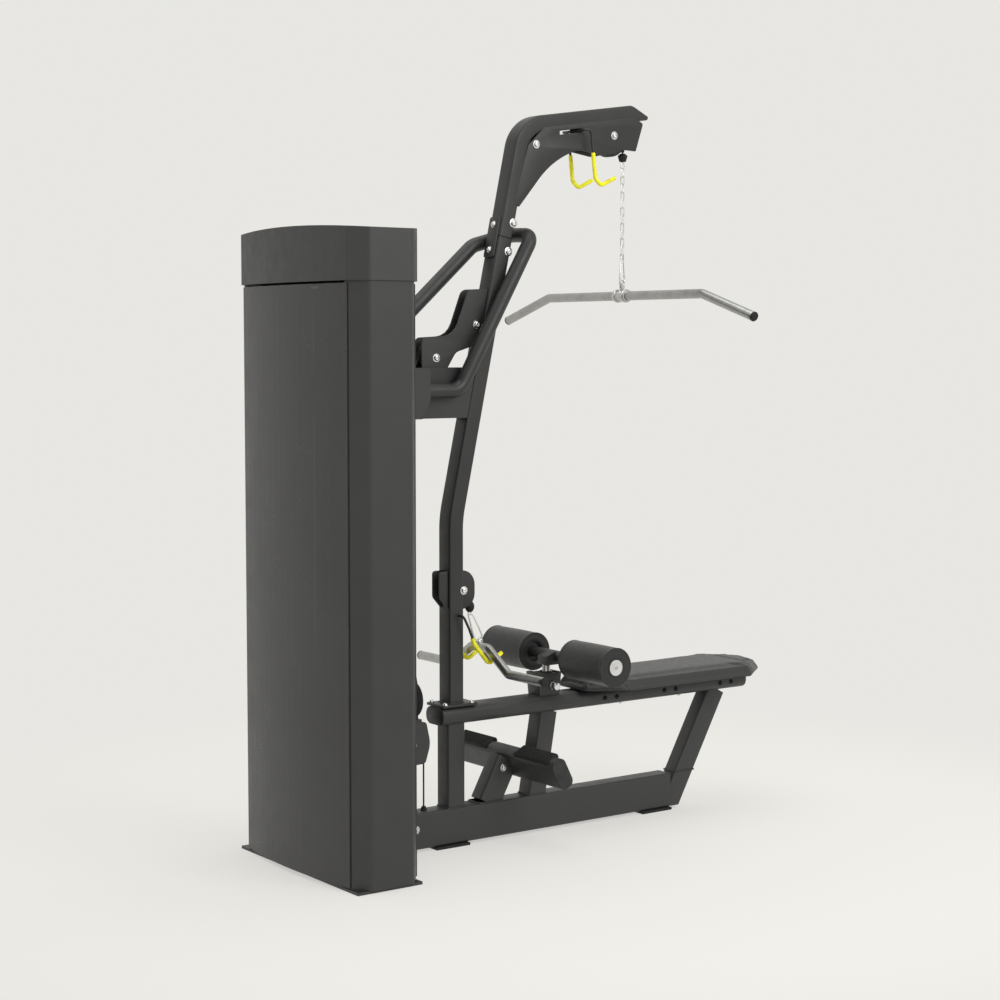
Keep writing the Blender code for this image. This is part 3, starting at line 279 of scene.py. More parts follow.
# --------------------------------------------------------------------------- shape helpers
def as_object(name, mesh, mat, body, smooth=35.0):
    obj = bpy.data.objects.new(name, mesh)
    scene.collection.objects.link(obj)
    mesh.materials.clear()
    mesh.materials.append(mat)
    if smooth:
        mesh.shade_smooth()
        mesh.set_sharp_from_angle(angle=math.radians(smooth))
    if body:
        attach(obj, body)
    return obj


def mesh_of(bm, name="piece"):
    bmesh.ops.remove_doubles(bm, verts=bm.verts[:], dist=0.000005)
    bmesh.ops.recalc_face_normals(bm, faces=bm.faces[:])
    mesh = bpy.data.meshes.new(name)
    bm.to_mesh(mesh)
    bm.free()
    return mesh


def arc_path(corners, steps=8, closed=False):
    """Points through corners (coordinates..., radius), with an arc at each radius."""
    pts = [(Vector(c[:-1]), c[-1]) for c in corners]
    out = []
    for i, (p, radius) in enumerate(pts):
        if radius == 0 or (not closed and i in (0, len(pts) - 1)):
            out.append(p)
            continue
        a = (pts[i - 1][0] - p).normalized()
        b = (pts[(i + 1) % len(pts)][0] - p).normalized()
        half = a.angle(b) / 2
        centre = p + (a + b).normalized() * (radius / math.sin(half))
        first = p + a * (radius / math.tan(half))
        last = p + b * (radius / math.tan(half))
        u = (first - centre).normalized()
        w = last - centre
        w = (w - u * w.dot(u)).normalized()
        for k in range(steps + 1):
            t = (math.pi - 2 * half) * k / steps
            out.append(centre + radius * (u * math.cos(t) + w * math.sin(t)))
    return out


def loft(bm, rings, caps=True, closed_path=False):
    made = [[bm.verts.new(p) for p in ring] for ring in rings]
    pairs = list(zip(made, made[1:]))
    if closed_path:
        pairs.append((made[-1], made[0]))
    for low, high in pairs:
        for i in range(len(low)):
            j = (i + 1) % len(low)
            bm.faces.new((low[i], low[j], high[j], high[i]))
    if caps and not closed_path:
        bm.faces.new(made[0][::-1])
        bm.faces.new(made[-1])


def section_box(half_y, half_n, corner, steps=5):
    ring = arc_path([(-half_n, -half_y, corner), (half_n, -half_y, corner), (half_n, half_y, corner),
                     (-half_n, half_y, corner)], steps, True)
    return [(p.x, p.y) for p in ring]


def swept(path, section, end_round=0.0):
    """A section (normal, y) swept along a path in the XZ plane."""
    pts = [Vector((p[0], p[1])) for p in path]
    bm = bmesh.new()
    rings = []
    for i, p in enumerate(pts):
        before = (p - pts[i - 1]).normalized() if i else (pts[1] - p).normalized()
        after = (pts[i + 1] - p).normalized() if i < len(pts) - 1 else before
        along = (before + after).normalized()
        normal = Vector((-along.y, along.x)) / max(0.2, along.dot(before))
        rings.append([(p.x + normal.x * n, y, p.y + normal.y * n) for n, y in section])
    if end_round:
        for at, inward in ((0, 1), (-1, -1)):
            p = pts[at]
            along = (pts[at + inward] - p).normalized()
            centre = Vector((p.x, 0, p.y))
            step = Vector((along.x, 0, along.y)) * end_round
            ring = [Vector(q) for q in rings[at]]
            inner = []
            for q in ring:
                away = q - centre
                inner.append(centre + away * (1 - end_round / away.length))
            shifted = [q + step for q in ring]
            mid = [centre + (q - centre) * (1 - 0.3 * end_round / (q - centre).length) + step * 0.3 for q in ring]
            extra = [inner, mid, shifted]
            if at == 0:
                rings[0:1] = extra
            else:
                rings[-1:] = extra[::-1]
    loft(bm, rings)
    return mesh_of(bm)


def tube(points, radius, sides=16, cap_round=True, closed=False):
    """A round tube through 3D points, its ends rounded a little."""
    pts = [Vector(p) for p in points]
    count = len(pts)
    rings = []
    side = None
    for i, p in enumerate(pts):
        if closed:
            along = (pts[(i + 1) % count] - pts[i - 1]).normalized()
        elif i == 0:
            along = (pts[1] - p).normalized()
        elif i == count - 1:
            along = (p - pts[-2]).normalized()
        else:
            along = ((p - pts[i - 1]).normalized() + (pts[i + 1] - p).normalized()).normalized()
        if side is None:
            side = along.orthogonal().normalized()
        side = (side - along * side.dot(along)).normalized()
        up = along.cross(side)
        scales = [(0.0, 1.0)]
        if cap_round and not closed and i == 0:
            scales = [(0.0, 0.72), (0.12, 0.92), (0.3, 1.0)]
        if cap_round and not closed and i == count - 1:
            scales = [(-0.3, 1.0), (-0.12, 0.92), (0.0, 0.72)]
        for shift, grow in scales:
            at = p + along * shift * radius
            rings.append([at + radius * grow * (side * math.cos(a) + up * math.sin(a))
                          for a in [2 * math.pi * k / sides for k in range(sides)]])
    bm = bmesh.new()
    loft(bm, rings, True, closed)
    return mesh_of(bm)


TURN = {
    "X": Matrix.Rotation(math.pi / 2, 4, "Y"),
    "Y": Matrix.Rotation(-math.pi / 2, 4, "X"),
    "Z": Matrix.Identity(4),
}


def lathe(profile, centre, axis, steps=48):
    """A profile of (radius, height) turned about an axis. A first or last radius of 0 closes the end."""
    bm = bmesh.new()
    rings = []
    for r, h in profile:
        if r == 0:
            rings.append([bm.verts.new((0, 0, h))])
        else:
            rings.append([bm.verts.new((r * math.cos(a), r * math.sin(a), h))
                          for a in [2 * math.pi * k / steps for k in range(steps)]])
    pairs = list(zip(rings, rings[1:]))
    if profile[0][0] > 0 and profile[-1][0] > 0:
        pairs.append((rings[-1], rings[0]))
    for low, high in pairs:
        for i in range(steps):
            j = (i + 1) % steps
            corners = [low[i % len(low)], low[j % len(low)], high[j % len(high)], high[i % len(high)]]
            unique = list(dict.fromkeys(corners))
            if len(unique) > 2:
                bm.faces.new(unique)
    mesh = mesh_of(bm)
    mesh.transform(Matrix.Translation(Vector(centre)) @ TURN[axis])
    return mesh


def flat_plate(outlines, low, high, edge=0.0006, plane="XZ"):
    """Outlines (the first outside, the rest holes) made into a plate with broken edges."""
    data = bpy.data.curves.new("outline", "CURVE")
    data.dimensions = "2D"
    for outline in outlines:
        spline = data.splines.new("POLY")
        spline.points.add(len(outline) - 1)
        for point, p in zip(spline.points, outline):
            point.co = (p[0], p[1], 0.0, 1.0)
        spline.use_cyclic_u = True
    data.fill_mode = "BOTH"
    data.extrude = (high - low) / 2 - edge
    data.bevel_depth = edge
    data.bevel_resolution = 1
    data.offset = -edge
    obj = bpy.data.objects.new("outline", data)
    scene.collection.objects.link(obj)
    graph = bpy.context.evaluated_depsgraph_get()
    mesh = bpy.data.meshes.new_from_object(obj.evaluated_get(graph))
    bpy.data.objects.remove(obj, do_unlink=True)
    bm = bmesh.new()
    bm.from_mesh(mesh)
    mesh = mesh_of(bm)
    middle = (low + high) / 2
    if plane == "XZ":
        mesh.transform(Matrix.Translation((0, middle, 0)) @ Matrix.Rotation(math.pi / 2, 4, "X"))
    elif plane == "XY":
        mesh.transform(Matrix.Translation((0, 0, middle)))
    else:
        mesh.transform(Matrix.Translation((middle, 0, 0)) @ Matrix(((0, 0, 1, 0), (1, 0, 0, 0), (0, 1,
                0, 0), (0, 0, 0, 1))))
    return mesh


def block(low, high, edge=0.002, segments=3):
    bm = bmesh.new()
    bmesh.ops.create_cube(bm, size=1.0)
    bmesh.ops.scale(bm, vec=[b - a for a, b in zip(low, high)], verts=bm.verts[:])
    bmesh.ops.translate(bm, vec=[(a + b) / 2 for a, b in zip(low, high)], verts=bm.verts[:])
    bmesh.ops.bevel(bm, geom=bm.edges[:], offset=edge, segments=segments, profile=0.5, affect="EDGES")
    return mesh_of(bm)


def joined(meshes):
    """Several meshes as one."""
    bm = bmesh.new()
    for mesh in meshes:
        bm.from_mesh(mesh)
    out = bpy.data.meshes.new("joined")
    bm.to_mesh(out)
    bm.free()
    return out


def hex_points(radius, turn=0.0):
    return [(radius * math.cos(turn + k * math.pi / 3),
            radius * math.sin(turn + k * math.pi / 3)) for k in range(6)]


def bolt_mesh(centre, axis, sign, r=0.0085, head=0.006, washer=True):
    """A button-head socket bolt standing on a face, with its washer. axis X, Y or Z, sign the way it faces."""
    parts = []
    low = 0.0
    if washer:
        parts.append(lathe([(0.0, 0.0014), (r * 1.28, 0.0014), (r * 1.34, 0.0010), (r * 1.34, -0.0006),
                (0.0, -0.0006)], (0, 0, 0), "Z", 32))
        low = 0.0014
    dome = [(r * 0.50, low + head), (r * 0.66, low + head * 0.96), (r * 0.86, low + head * 0.72),
            (r * 0.97, low + head * 0.36),
            (r, low + 0.0006), (r, low - 0.0002), (r * 0.5, low - 0.0002)]
    dome_mesh = lathe([(0.0, low + head * 0.35)] + [(r * 0.42, low + head * 0.35)] + dome[:-1] + [(0.0,
            low - 0.0002)], (0, 0, 0), "Z", 36)
    parts.append(dome_mesh)
    mesh = joined(parts)
    flip = Matrix.Identity(4) if sign > 0 else Matrix.Rotation(math.pi, 4, "X")
    mesh.transform(Matrix.Translation(Vector(centre)) @ TURN[axis] @ flip)
    return mesh


def nut_mesh(centre, axis, sign, r=0.0095, thick=0.006):
    ring = [[(x, y, 0.0) for x, y in hex_points(r)], [(x, y, thick * 0.82) for x, y in hex_points(r)],
            [(x * 0.88, y * 0.88, thick) for x, y in hex_points(r)]]
    bm = bmesh.new()
    loft(bm, ring)
    mesh = mesh_of(bm)
    stud = lathe([(0.0, thick + 0.004), (r * 0.48, thick + 0.0035), (r * 0.5, thick + 0.002), (r * 0.5,
            0.0), (0.0, 0.0)], (0, 0, 0), "Z", 20)
    mesh = joined([mesh, stud])
    flip = Matrix.Identity(4) if sign > 0 else Matrix.Rotation(math.pi, 4, "X")
    mesh.transform(Matrix.Translation(Vector(centre)) @ TURN[axis] @ flip)
    return mesh


def bead(points, radius=0.0028):
    """A weld bead laid along a path, rippled like stacked coins."""
    pts = [Vector(p) for p in points]
    fine = []
    for a, b in zip(pts, pts[1:]):
        count = max(1, int((b - a).length / 0.0022))
        fine += [a.lerp(b, k / count) for k in range(count)]
    fine.append(pts[-1])
    rings = []
    side = None
    for i, p in enumerate(fine):
        along = (fine[min(i + 1, len(fine) - 1)] - fine[max(i - 1, 0)]).normalized()
        if side is None:
            side = along.orthogonal().normalized()
        side = (side - along * side.dot(along)).normalized()
        up = along.cross(side)
        r = radius * (0.92 + 0.10 * math.sin(i * 1.9) + 0.05 * noise.noise(p * 300))
        rings.append([p + r * (side * math.cos(t) + up * math.sin(t)) for t in [2 * math.pi * k / 8 for k in range(8)]])
    bm = bmesh.new()
    loft(bm, rings)
    return mesh_of(bm)


def rect_ring(x0, x1, y0, y1, z, corner=0.006):
    ring = arc_path([(x0, y0, corner), (x1, y0, corner), (x1, y1, corner), (x0, y1, corner)], 3, True)
    ring.append(ring[0])
    return [(p.x, p.y, z) for p in ring]


made = {}


def piece(name, mesh, mat, body, slot, *nodes, smooth=35.0):
    obj = as_object(name, mesh, mat, body, smooth)
    if nodes:
        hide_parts(*nodes)
    made[name] = obj
    return obj


# --------------------------------------------------------------------------- CAD nodes that stay, with real finishes
def dress(node, mat, bevel=0.0, angle=40.0, smooth=35.0):
    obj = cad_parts[node]
    for slot in obj.material_slots:
        slot.material = mat
    if not obj.material_slots:
        obj.data.materials.append(mat)
    if bevel:
        mod = obj.modifiers.new("Bevel", "BEVEL")
        mod.width = bevel
        mod.segments = 2
        mod.limit_method = "ANGLE"
        mod.angle_limit = math.radians(angle)
        mod.use_clamp_overlap = True
    if smooth:
        obj.data.shade_smooth()
        obj.data.set_sharp_from_angle(angle=math.radians(smooth))


dress("tower_frame", PAINT)
dress("pillar_near", SHROUD)
dress("pillar_far", SHROUD)
dress("rear_panel", SMOKED)
dress("front_cover", SHROUD)
dress("tower_cap", CAP)
dress("guide_rod_near", STEEL)
dress("guide_rod_far", STEEL)
dress("stack_resting", IRON)
dress("stack_lifted", IRON)
dress("selector_stem", STEEL)
dress("selector_pin", STEEL)
dress("link_beam", PAINT)
dress("float_block", PAINT)
dress("rubber_foot_tower", RUBBER)
dress("rubber_foot_bench", RUBBER)


# --------------------------------------------------------------------------- upright and boom
def upright():
    path = arc_path([(UPRIGHT_X, 0.4175, 0), (UPRIGHT_X, BEND_Z, 0.35), (upright_x(JOINT_Z), JOINT_Z,
            0)], 20)
    mesh = swept(path, section_box(0.030, 0.025, 0.007))
    piece("upright_tube", mesh, PAINT, "frame", "frame_paint", "upright")
    flange = block((0.464, -0.044, 0.4173), (0.586, 0.044, 0.4253), 0.0015)
    piece("upright_flange", flange, PAINT, "frame", "frame_paint")
    cheek = [tuple(p) for p in arc_path([(0.4672, 0.815, 0.010), (0.593, 0.815, 0.045), (0.593, 0.701,
            0.045),
                                         (0.500, 0.701, 0.020), (0.4672, 0.738, 0.020)], 10, True)]
    for sign, side in ((-1, "near"), (1, "far")):
        ys = sorted((sign * 0.0155, sign * 0.0195))
        piece(f"row_guard_{side}", flat_plate([cheek], *ys), PAINT, "frame", "frame_paint")
    for i, (x, y) in enumerate(((0.476, -0.036), (0.568, -0.036), (0.476, 0.036), (0.568, 0.036))):
        piece(f"flange_bolt_{i}", bolt_mesh((x, y, 0.4253), "Z", 1, 0.0065, 0.005), BOLT_STEEL, "frame",
                "bright_steel")
    piece("upright_foot_weld", bead(rect_ring(0.4965, 0.5475, -0.0305, 0.0305, 0.4256)), PAINT, "frame",
            "frame_paint")


def boom():
    rise = 0.150
    corner = (upright_x(2.117), 2.117)
    foot_z = JOINT_Z + 0.0008
    tip_x = 1.236
    end = (tip_x, corner[1] + rise * (tip_x - corner[0]))
    path = arc_path([(upright_x(foot_z), foot_z, 0), (*corner, 0.095), (*end, 0)], 20)
    mesh = swept(path, section_box(0.030, 0.025, 0.010, 6))
    # the open end is cut to a slant
    bm = bmesh.new()
    bm.from_mesh(mesh)
    cut_point = Vector((1.172, 0, 2.2035))
    cut_normal = Vector((0.0615, 0, 0.128)).normalized()
    found = bmesh.ops.bisect_plane(bm, geom=bm.verts[:] + bm.edges[:] + bm.faces[:], plane_co=cut_point,
                                   plane_no=cut_normal, clear_outer=True)
    edges = [e for e in found["geom_cut"] if isinstance(e, bmesh.types.BMEdge)]
    bmesh.ops.holes_fill(bm, edges=edges)
    piece("boom_tube", mesh_of(bm), PAINT, "frame", "frame_paint", "boom")
    side = arc_path([(0.7445, 1.876, 0.004), (0.862, 2.012, 0.30), (0.965, 2.058, 0.10), (1.060, 2.044,
            0.05),
                     (1.112, 2.0535, 0.02), (1.140, 2.066, 0.02), (1.190, 2.064, 0.004), (1.219, 2.150,
                             0.008),
                     (1.180, 2.166, 0.0), (0.840, 2.116, 0.0), (0.780, 2.060, 0.0), (0.731, 1.900,
                             0.0)], 10, True)
    side = [tuple(p) for p in side]
    slot_hole = [(0.897, 2.0975), (0.981, 2.1101), (0.981, 2.1219), (0.897, 2.1093)]
    for sign, name in ((-1, "near"), (1, "far")):
        ys = sorted((sign * 0.0262, sign * 0.0306))
        piece(f"boom_plate_{name}", flat_plate([side, slot_hole], *ys), PAINT, "frame", "frame_paint")
    back = 0.025 * math.sqrt(1 + LEAN ** 2) + 0.0006
    low, high = 1.730, 1.848
    outline = arc_path([(-0.024, low, 0.006), (0.024, low, 0.006), (0.024, high, 0.006), (-0.024, high,
            0.006)], 5, True)
    splice = flat_plate([[tuple(p) for p in outline]], -0.006, 0.0, 0.0008, "YZ")
    shear = Matrix.Identity(4)
    shear[0][2] = LEAN
    shear[0][3] = UPRIGHT_X - LEAN * BEND_Z - back
    splice.transform(shear)
    piece("joint_splice", splice, PAINT, "frame", "frame_paint")
    for i, z in enumerate((1.752, 1.826)):
        head = bolt_mesh((0, 0, 0), "X", -1, 0.0075, 0.005)
        head.transform(Matrix.Translation((upright_x(z) - back - 0.006, 0,
                z)) @ Matrix.Rotation(-math.atan(LEAN) * -1, 4, "Y"))
        piece(f"splice_bolt_{i}", head, BOLT_STEEL, "frame", "bright_steel")
    for i, z in enumerate((1.746, 1.830)):
        x = upright_x(z) + 0.017
        piece(f"joint_bolt_{i}", bolt_mesh((x, -0.0300, z), "Y", -1, 0.0100, 0.007), BOLT_STEEL,
                "frame", "bright_steel")
        piece(f"joint_nut_{i}", nut_mesh((x, 0.0300, z), "Y", 1, 0.0100), BOLT_STEEL, "frame",
                "bright_steel")
    seam = arc_path([(-0.0256, -0.0306, 0.008), (0.0256, -0.0306, 0.008), (0.0256, 0.0306, 0.008),
            (-0.0256, 0.0306, 0.008)], 3, True)
    seam.append(seam[0])
    tilt = Matrix.Translation((upright_x(JOINT_Z), 0, JOINT_Z)) @ Matrix.Rotation(math.atan(LEAN), 4,
            "Y")
    line = bead([tilt @ Vector((p.x, p.y, 0.0)) for p in seam], 0.0014)
    piece("joint_line", line, RUBBER, "frame", "rubber")


# --------------------------------------------------------------------------- wheels, axles and cables
def wheel_mesh(radius, centre, axis):
    rim = radius + 0.0045
    half = 0.011
    groove = []
    for k in range(9):
        t = math.pi * k / 8
        groove.append((radius + 0.0004 - 0.0032 * math.sin(t) if 0 < k < 8 else radius + 0.0004,
                0.0034 * math.cos(t)))
    hub = [(0.0060, half - 0.0005), (0.0125, half - 0.0005), (0.0125, half - 0.0015), (0.0160,
            half - 0.0022),
           (radius - 0.014, half - 0.0042), (radius - 0.010, half - 0.0012), (radius - 0.006, half)]
    profile = hub + [(rim - 0.001, half), (rim, half - 0.001), (rim, half - 0.0022)] + groove
    profile += [(rim, -half + 0.0022), (rim, -half + 0.001), (rim - 0.001, -half)]
    profile += [(r, -h) for r, h in reversed(hub)]
    return lathe(profile, centre, axis, 64)


def wheel(node, body, data, axis="Y", centre=None, spindle=0.0):
    x, z, radius = data
    centre = centre or (x, 0.0, z)
    piece(node + "_wheel", wheel_mesh(radius, centre, axis), NYLON, body, "nylon", node)
    ring = lathe([(0.0062, 0.0108), (0.0122, 0.0108), (0.0122, 0.0102), (0.0062, 0.0102)], centre, axis,
            32)
    back = lathe([(0.0062, -0.0102), (0.0122, -0.0102), (0.0122, -0.0108), (0.0062, -0.0108)], centre,
            axis, 32)
    piece(node + "_bearing", joined([ring, back]), STEEL, body, "bright_steel")
    if spindle:
        piece(node + "_spindle", lathe([(0.0, spindle), (0.0055, spindle), (0.0058, spindle - 0.0006),
                (0.0058, -spindle + 0.0006),
                                        (0.0055, -spindle), (0.0,
                                        -spindle)], centre, axis, 24), STEEL, body, "bright_steel")


def through_bolt(node, data, outer, near_r=0.0092):
    x, z, _ = data
    shank = lathe([(0.0, outer), (0.0058, outer), (0.0058, -outer), (0.0, -outer)], (x, 0, z), "Y", 24)
    head = bolt_mesh((x, -outer, z), "Y", -1, near_r, 0.006)
    nut = nut_mesh((x, outer, z), "Y", 1, near_r)
    piece(node + "_bolt", joined([shank, head, nut]), BOLT_STEEL, "frame", "bright_steel", node)


def spacers(name, data, inner, outer):
    x, z, _ = data
    rings = [lathe([(0.0065, h1), (0.0095, h1), (0.0095, h0), (0.0065, h0)], (x, 0, z), "Y", 24)
             for h0, h1 in ((inner, outer), (-outer, -inner))]
    piece(name + "_spacers", joined(rings), STEEL, "frame", "bright_steel")


def tangent(a, b):
    (ax, az, ar, at), (bx, bz, br, bt) = a, b
    along = Vector((bx - ax, bz - az))
    k = (bt * br - at * ar) / along.length
    along.normalize()
    left = Vector((-along.y, along.x))
    normal = along * k + left * math.sqrt(max(0.0, 1 - k * k))
    return (Vector((ax, az)) - normal * (at * ar), Vector((bx, bz)) - normal * (bt * br))


def cable_path(wheels, step=math.radians(5)):
    """A cable's route round wheels (x, z, radius, turn); the first and last are points with radius 0."""
    runs = [tangent(a, b) for a, b in zip(wheels, wheels[1:])]
    points = [runs[0][0]]
    for data, before, after in zip(wheels[1:-1], runs, runs[1:]):
        centre = Vector(data[:2])
        first = math.atan2(*(before[1] - centre).yx)
        last = math.atan2(*(after[0] - centre).yx)
        sweep = (last - first) * data[3] % (2 * math.pi) * data[3]
        count = max(2, math.ceil(abs(sweep) / step))
        points += [centre + data[2] * Vector((math.cos(first + sweep * i / count),
                math.sin(first + sweep * i / count)))
                   for i in range(count + 1)]
    points.append(runs[-1][1])
    kept = [p for p, before in zip(points[1:], points) if (p - before).length > 0.0001]
    return [(p.x, 0.0, p.y) for p in [points[0]] + kept]


def straight(a, b, count=24):
    return [Vector(a).lerp(Vector(b), k / count) for k in range(count + 1)]


def cables():
    left = TURN_LINK_PULLEY[0] - TURN_LINK_PULLEY[2]
    wheels = [(FRONT_PULLEY[0] + FRONT_PULLEY[2], FRONT_PULLEY[1], 0.0, 1), (*FRONT_PULLEY, 1),
            (*CORNER_PULLEY, 1),
              (*UPPER_LINK_PULLEY, -1), (*LOWER_LINK_PULLEY, 1), (*TURN_LINK_PULLEY, 1), (left, 1.290,
                      0.0, 1)]
    piece("lat_cable_fixed", tube(cable_path(wheels), CABLE_R, 12), COAT, "frame", "cable", "lat_cable")
    wheels = [(ROW_PULLEY[0] + ROW_PULLEY[2], ROW_PULLEY[1], 0.0, 1), (*ROW_PULLEY, 1),
            (*TURN_BASE_PULLEY, -1),
              (*BASE_PULLEY, -1), (BASE_PULLEY[0] - BASE_PULLEY[2], BASE_PULLEY[1], 0.0, 1)]
    piece("row_cable_fixed", tube(cable_path(wheels), CABLE_R, 12), COAT, "frame", "cable", "row_cable")

    x, z, r = HEAD_PULLEY
    wrap = [(x + r * math.cos(t), 0.0,
            z + r * math.sin(t)) for t in [math.pi * k / 32 for k in range(33)]]
    piece("head_cable_wrap", tube(wrap, CABLE_R, 12), COAT, "frame", "cable")
    x, z, r = BLOCK_UPPER
    under = [(x, r * math.cos(t), z - r * math.sin(t)) for t in [math.pi * k / 32 for k in range(33)]]
    piece("float_cable_wrap", tube(under, CABLE_R, 12), COAT, "block", "cable")
    x, z, r = BLOCK_LOWER
    over = [(x - r * math.cos(t), 0.0,
            z + r * math.sin(t)) for t in [math.pi * k / 32 for k in range(33)]]
    piece("row_cable_wrap", tube(over, CABLE_R, 12), COAT, "block", "cable")

    def stretched(name, a, b, node):
        obj = piece(name, tube(straight(a, b), CABLE_R, 12, False), COAT, None, "cable")
        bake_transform(obj)
        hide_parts(node)

    stretched("float_strand_link", (left, 0.0, 1.2905), (BLOCK_UPPER[0], BLOCK_UPPER[2],
            BLOCK_UPPER[1]), "float_loop")
    stretched("float_strand_head", (HEAD_PULLEY[0] + HEAD_PULLEY[2], 0.0, HEAD_PULLEY[1]),
              (BLOCK_UPPER[0], -BLOCK_UPPER[2], BLOCK_UPPER[1]), "float_loop")
    stretched("row_strand_base", (BASE_PULLEY[0] - BASE_PULLEY[2], 0.0, BASE_PULLEY[1]),
              (BLOCK_LOWER[0] - BLOCK_LOWER[2], 0.0, BLOCK_LOWER[1]), "row_loop")
    stretched("row_strand_anchor", (BLOCK_LOWER[0] + BLOCK_LOWER[2], 0.0, 0.1285),
              (BLOCK_LOWER[0] + BLOCK_LOWER[2], 0.0, BLOCK_LOWER[1]), "row_loop")
    stretched("lift_strand", (0.105, 0.0, HEAD_PULLEY[1]), (0.105, 0.0, 0.6335), "lift_run")
    stretched("lat_strand", (LAT_X, 0.0, FRONT_PULLEY[1]), (LAT_X, 0.0, 2.0575), "lat_run")
    x = ROW_PULLEY[0] + ROW_PULLEY[2]
    stretched("row_strand", (x, 0.0, ROW_PULLEY[1]), (x, 0.0, 0.7215), "row_run")


def wheels_and_axles():
    wheel("front_pulley", "front_wheel", FRONT_PULLEY)
    wheel("corner_pulley", "corner_wheel", CORNER_PULLEY)
    wheel("upper_link_pulley", "upper_link_wheel", UPPER_LINK_PULLEY)
    wheel("lower_link_pulley", "lower_link_wheel", LOWER_LINK_PULLEY)
    wheel("turn_link_pulley", "turn_link_wheel", TURN_LINK_PULLEY, spindle=0.0295)
    wheel("head_pulley", "head_wheel", HEAD_PULLEY, spindle=0.024)
    wheel("row_pulley", "row_wheel", ROW_PULLEY)
    wheel("base_pulley", "base_wheel", BASE_PULLEY)
    wheel("turn_base_pulley", "turn_base_wheel", TURN_BASE_PULLEY, spindle=0.0313)
    wheel("float_lower_wheel", "block_lower_wheel", BLOCK_LOWER, spindle=0.0225)
    wheel("float_upper_wheel", "block_upper_wheel", BLOCK_UPPER, "X", (BLOCK_UPPER[0], 0.0,
            BLOCK_UPPER[1]), 0.0235)
    through_bolt("front_axle", FRONT_PULLEY, 0.0306)
    through_bolt("corner_axle", CORNER_PULLEY, 0.0306)
    through_bolt("upper_link_axle", UPPER_LINK_PULLEY, 0.0198)
    through_bolt("lower_link_axle", LOWER_LINK_PULLEY, 0.0198)
    through_bolt("row_axle", ROW_PULLEY, 0.0303)
    through_bolt("base_axle", BASE_PULLEY, 0.0318)
    for name, data, outer in (("front", FRONT_PULLEY, 0.026), ("corner", CORNER_PULLEY, 0.026),
            ("upper_link", UPPER_LINK_PULLEY, 0.0155),
                              ("lower_link", LOWER_LINK_PULLEY, 0.0155), ("row", ROW_PULLEY,
                              0.0155), ("base", BASE_PULLEY, 0.0285)):
        spacers(name, data, 0.0115, outer)
    x, z, _ = BLOCK_LOWER
    for sign, side in ((-1, "near"), (1, "far")):
        piece(f"block_bolt_{side}", bolt_mesh((x, sign * 0.0198, z), "Y", sign, 0.0085, 0.0045),
                BOLT_STEEL, "block", "bright_steel")


# --------------------------------------------------------------------------- lat line
def chain_link(centre, turn, length, width, radius):
    half = length / 2 - width / 2
    ring = []
    for k in range(25):
        t = math.pi * k / 24
        ring.append((width / 2 * math.cos(t), half + width / 2 * math.sin(t)))
    for k in range(25):
        t = math.pi + math.pi * k / 24
        ring.append((width / 2 * math.cos(t), -half + width / 2 * math.sin(t)))
    spin = Matrix.Rotation(turn, 4, "Z")
    return tube([Vector(centre) + spin @ Vector((a, 0, b)) for a, b in ring], radius, 10, False, True)


def snap_hook(top, bottom, width, radius, turn=0.0):
    """A sprung carabiner: pear-shaped body with a gate."""
    top, bottom = Vector(top), Vector(bottom)
    along = (bottom - top).normalized()
    length = (bottom - top).length
    spin = Matrix.Rotation(turn, 4, "Z")
    side = (spin @ Vector((1, 0, 0)))
    side = (side - along * side.dot(along)).normalized()

    def at(u, v):
        return top + along * (u * length) + side * (v * width / 2)
    outline = [(0.02, 0.0, 0), (0.0, -0.28, 0), (0.04, -0.55, 0), (0.14, -0.60, 0), (0.66, -0.98, 0),
            (0.86, -1.0, 0),
               (0.97, -0.62, 0), (1.0, 0.0, 0), (0.97, 0.62, 0), (0.86, 1.0, 0), (0.72, 1.0, 0)]
    pts = [at(u, v) for u, v, _ in outline]
    smooth = []
    for i in range(len(pts) - 1):
        p0, p1 = pts[max(i - 1, 0)], pts[i]
        p2, p3 = pts[i + 1], pts[min(i + 2, len(pts) - 1)]
        for k in range(6):
            t = k / 6
            smooth.append(0.5 * ((2 * p1) + (p2 - p0) * t + (2 * p0 - 5 * p1 + 4 * p2 - p3) * t * t + (3 * p1 - p0 - 3 * p2 + p3) * t ** 3))
    smooth.append(pts[-1])
    body = tube(smooth, radius, 12)
    gate = tube([at(0.73, 0.98), at(0.45, 0.80), at(0.16, 0.58), at(0.03, 0.30)], radius * 0.78, 10)
    hinge = tube([at(0.71, 0.98) - side.cross(along) * radius * 1.5, at(0.71,
            0.98) + side.cross(along) * radius * 1.5], radius * 0.8, 10)
    return joined([body, gate, hinge])


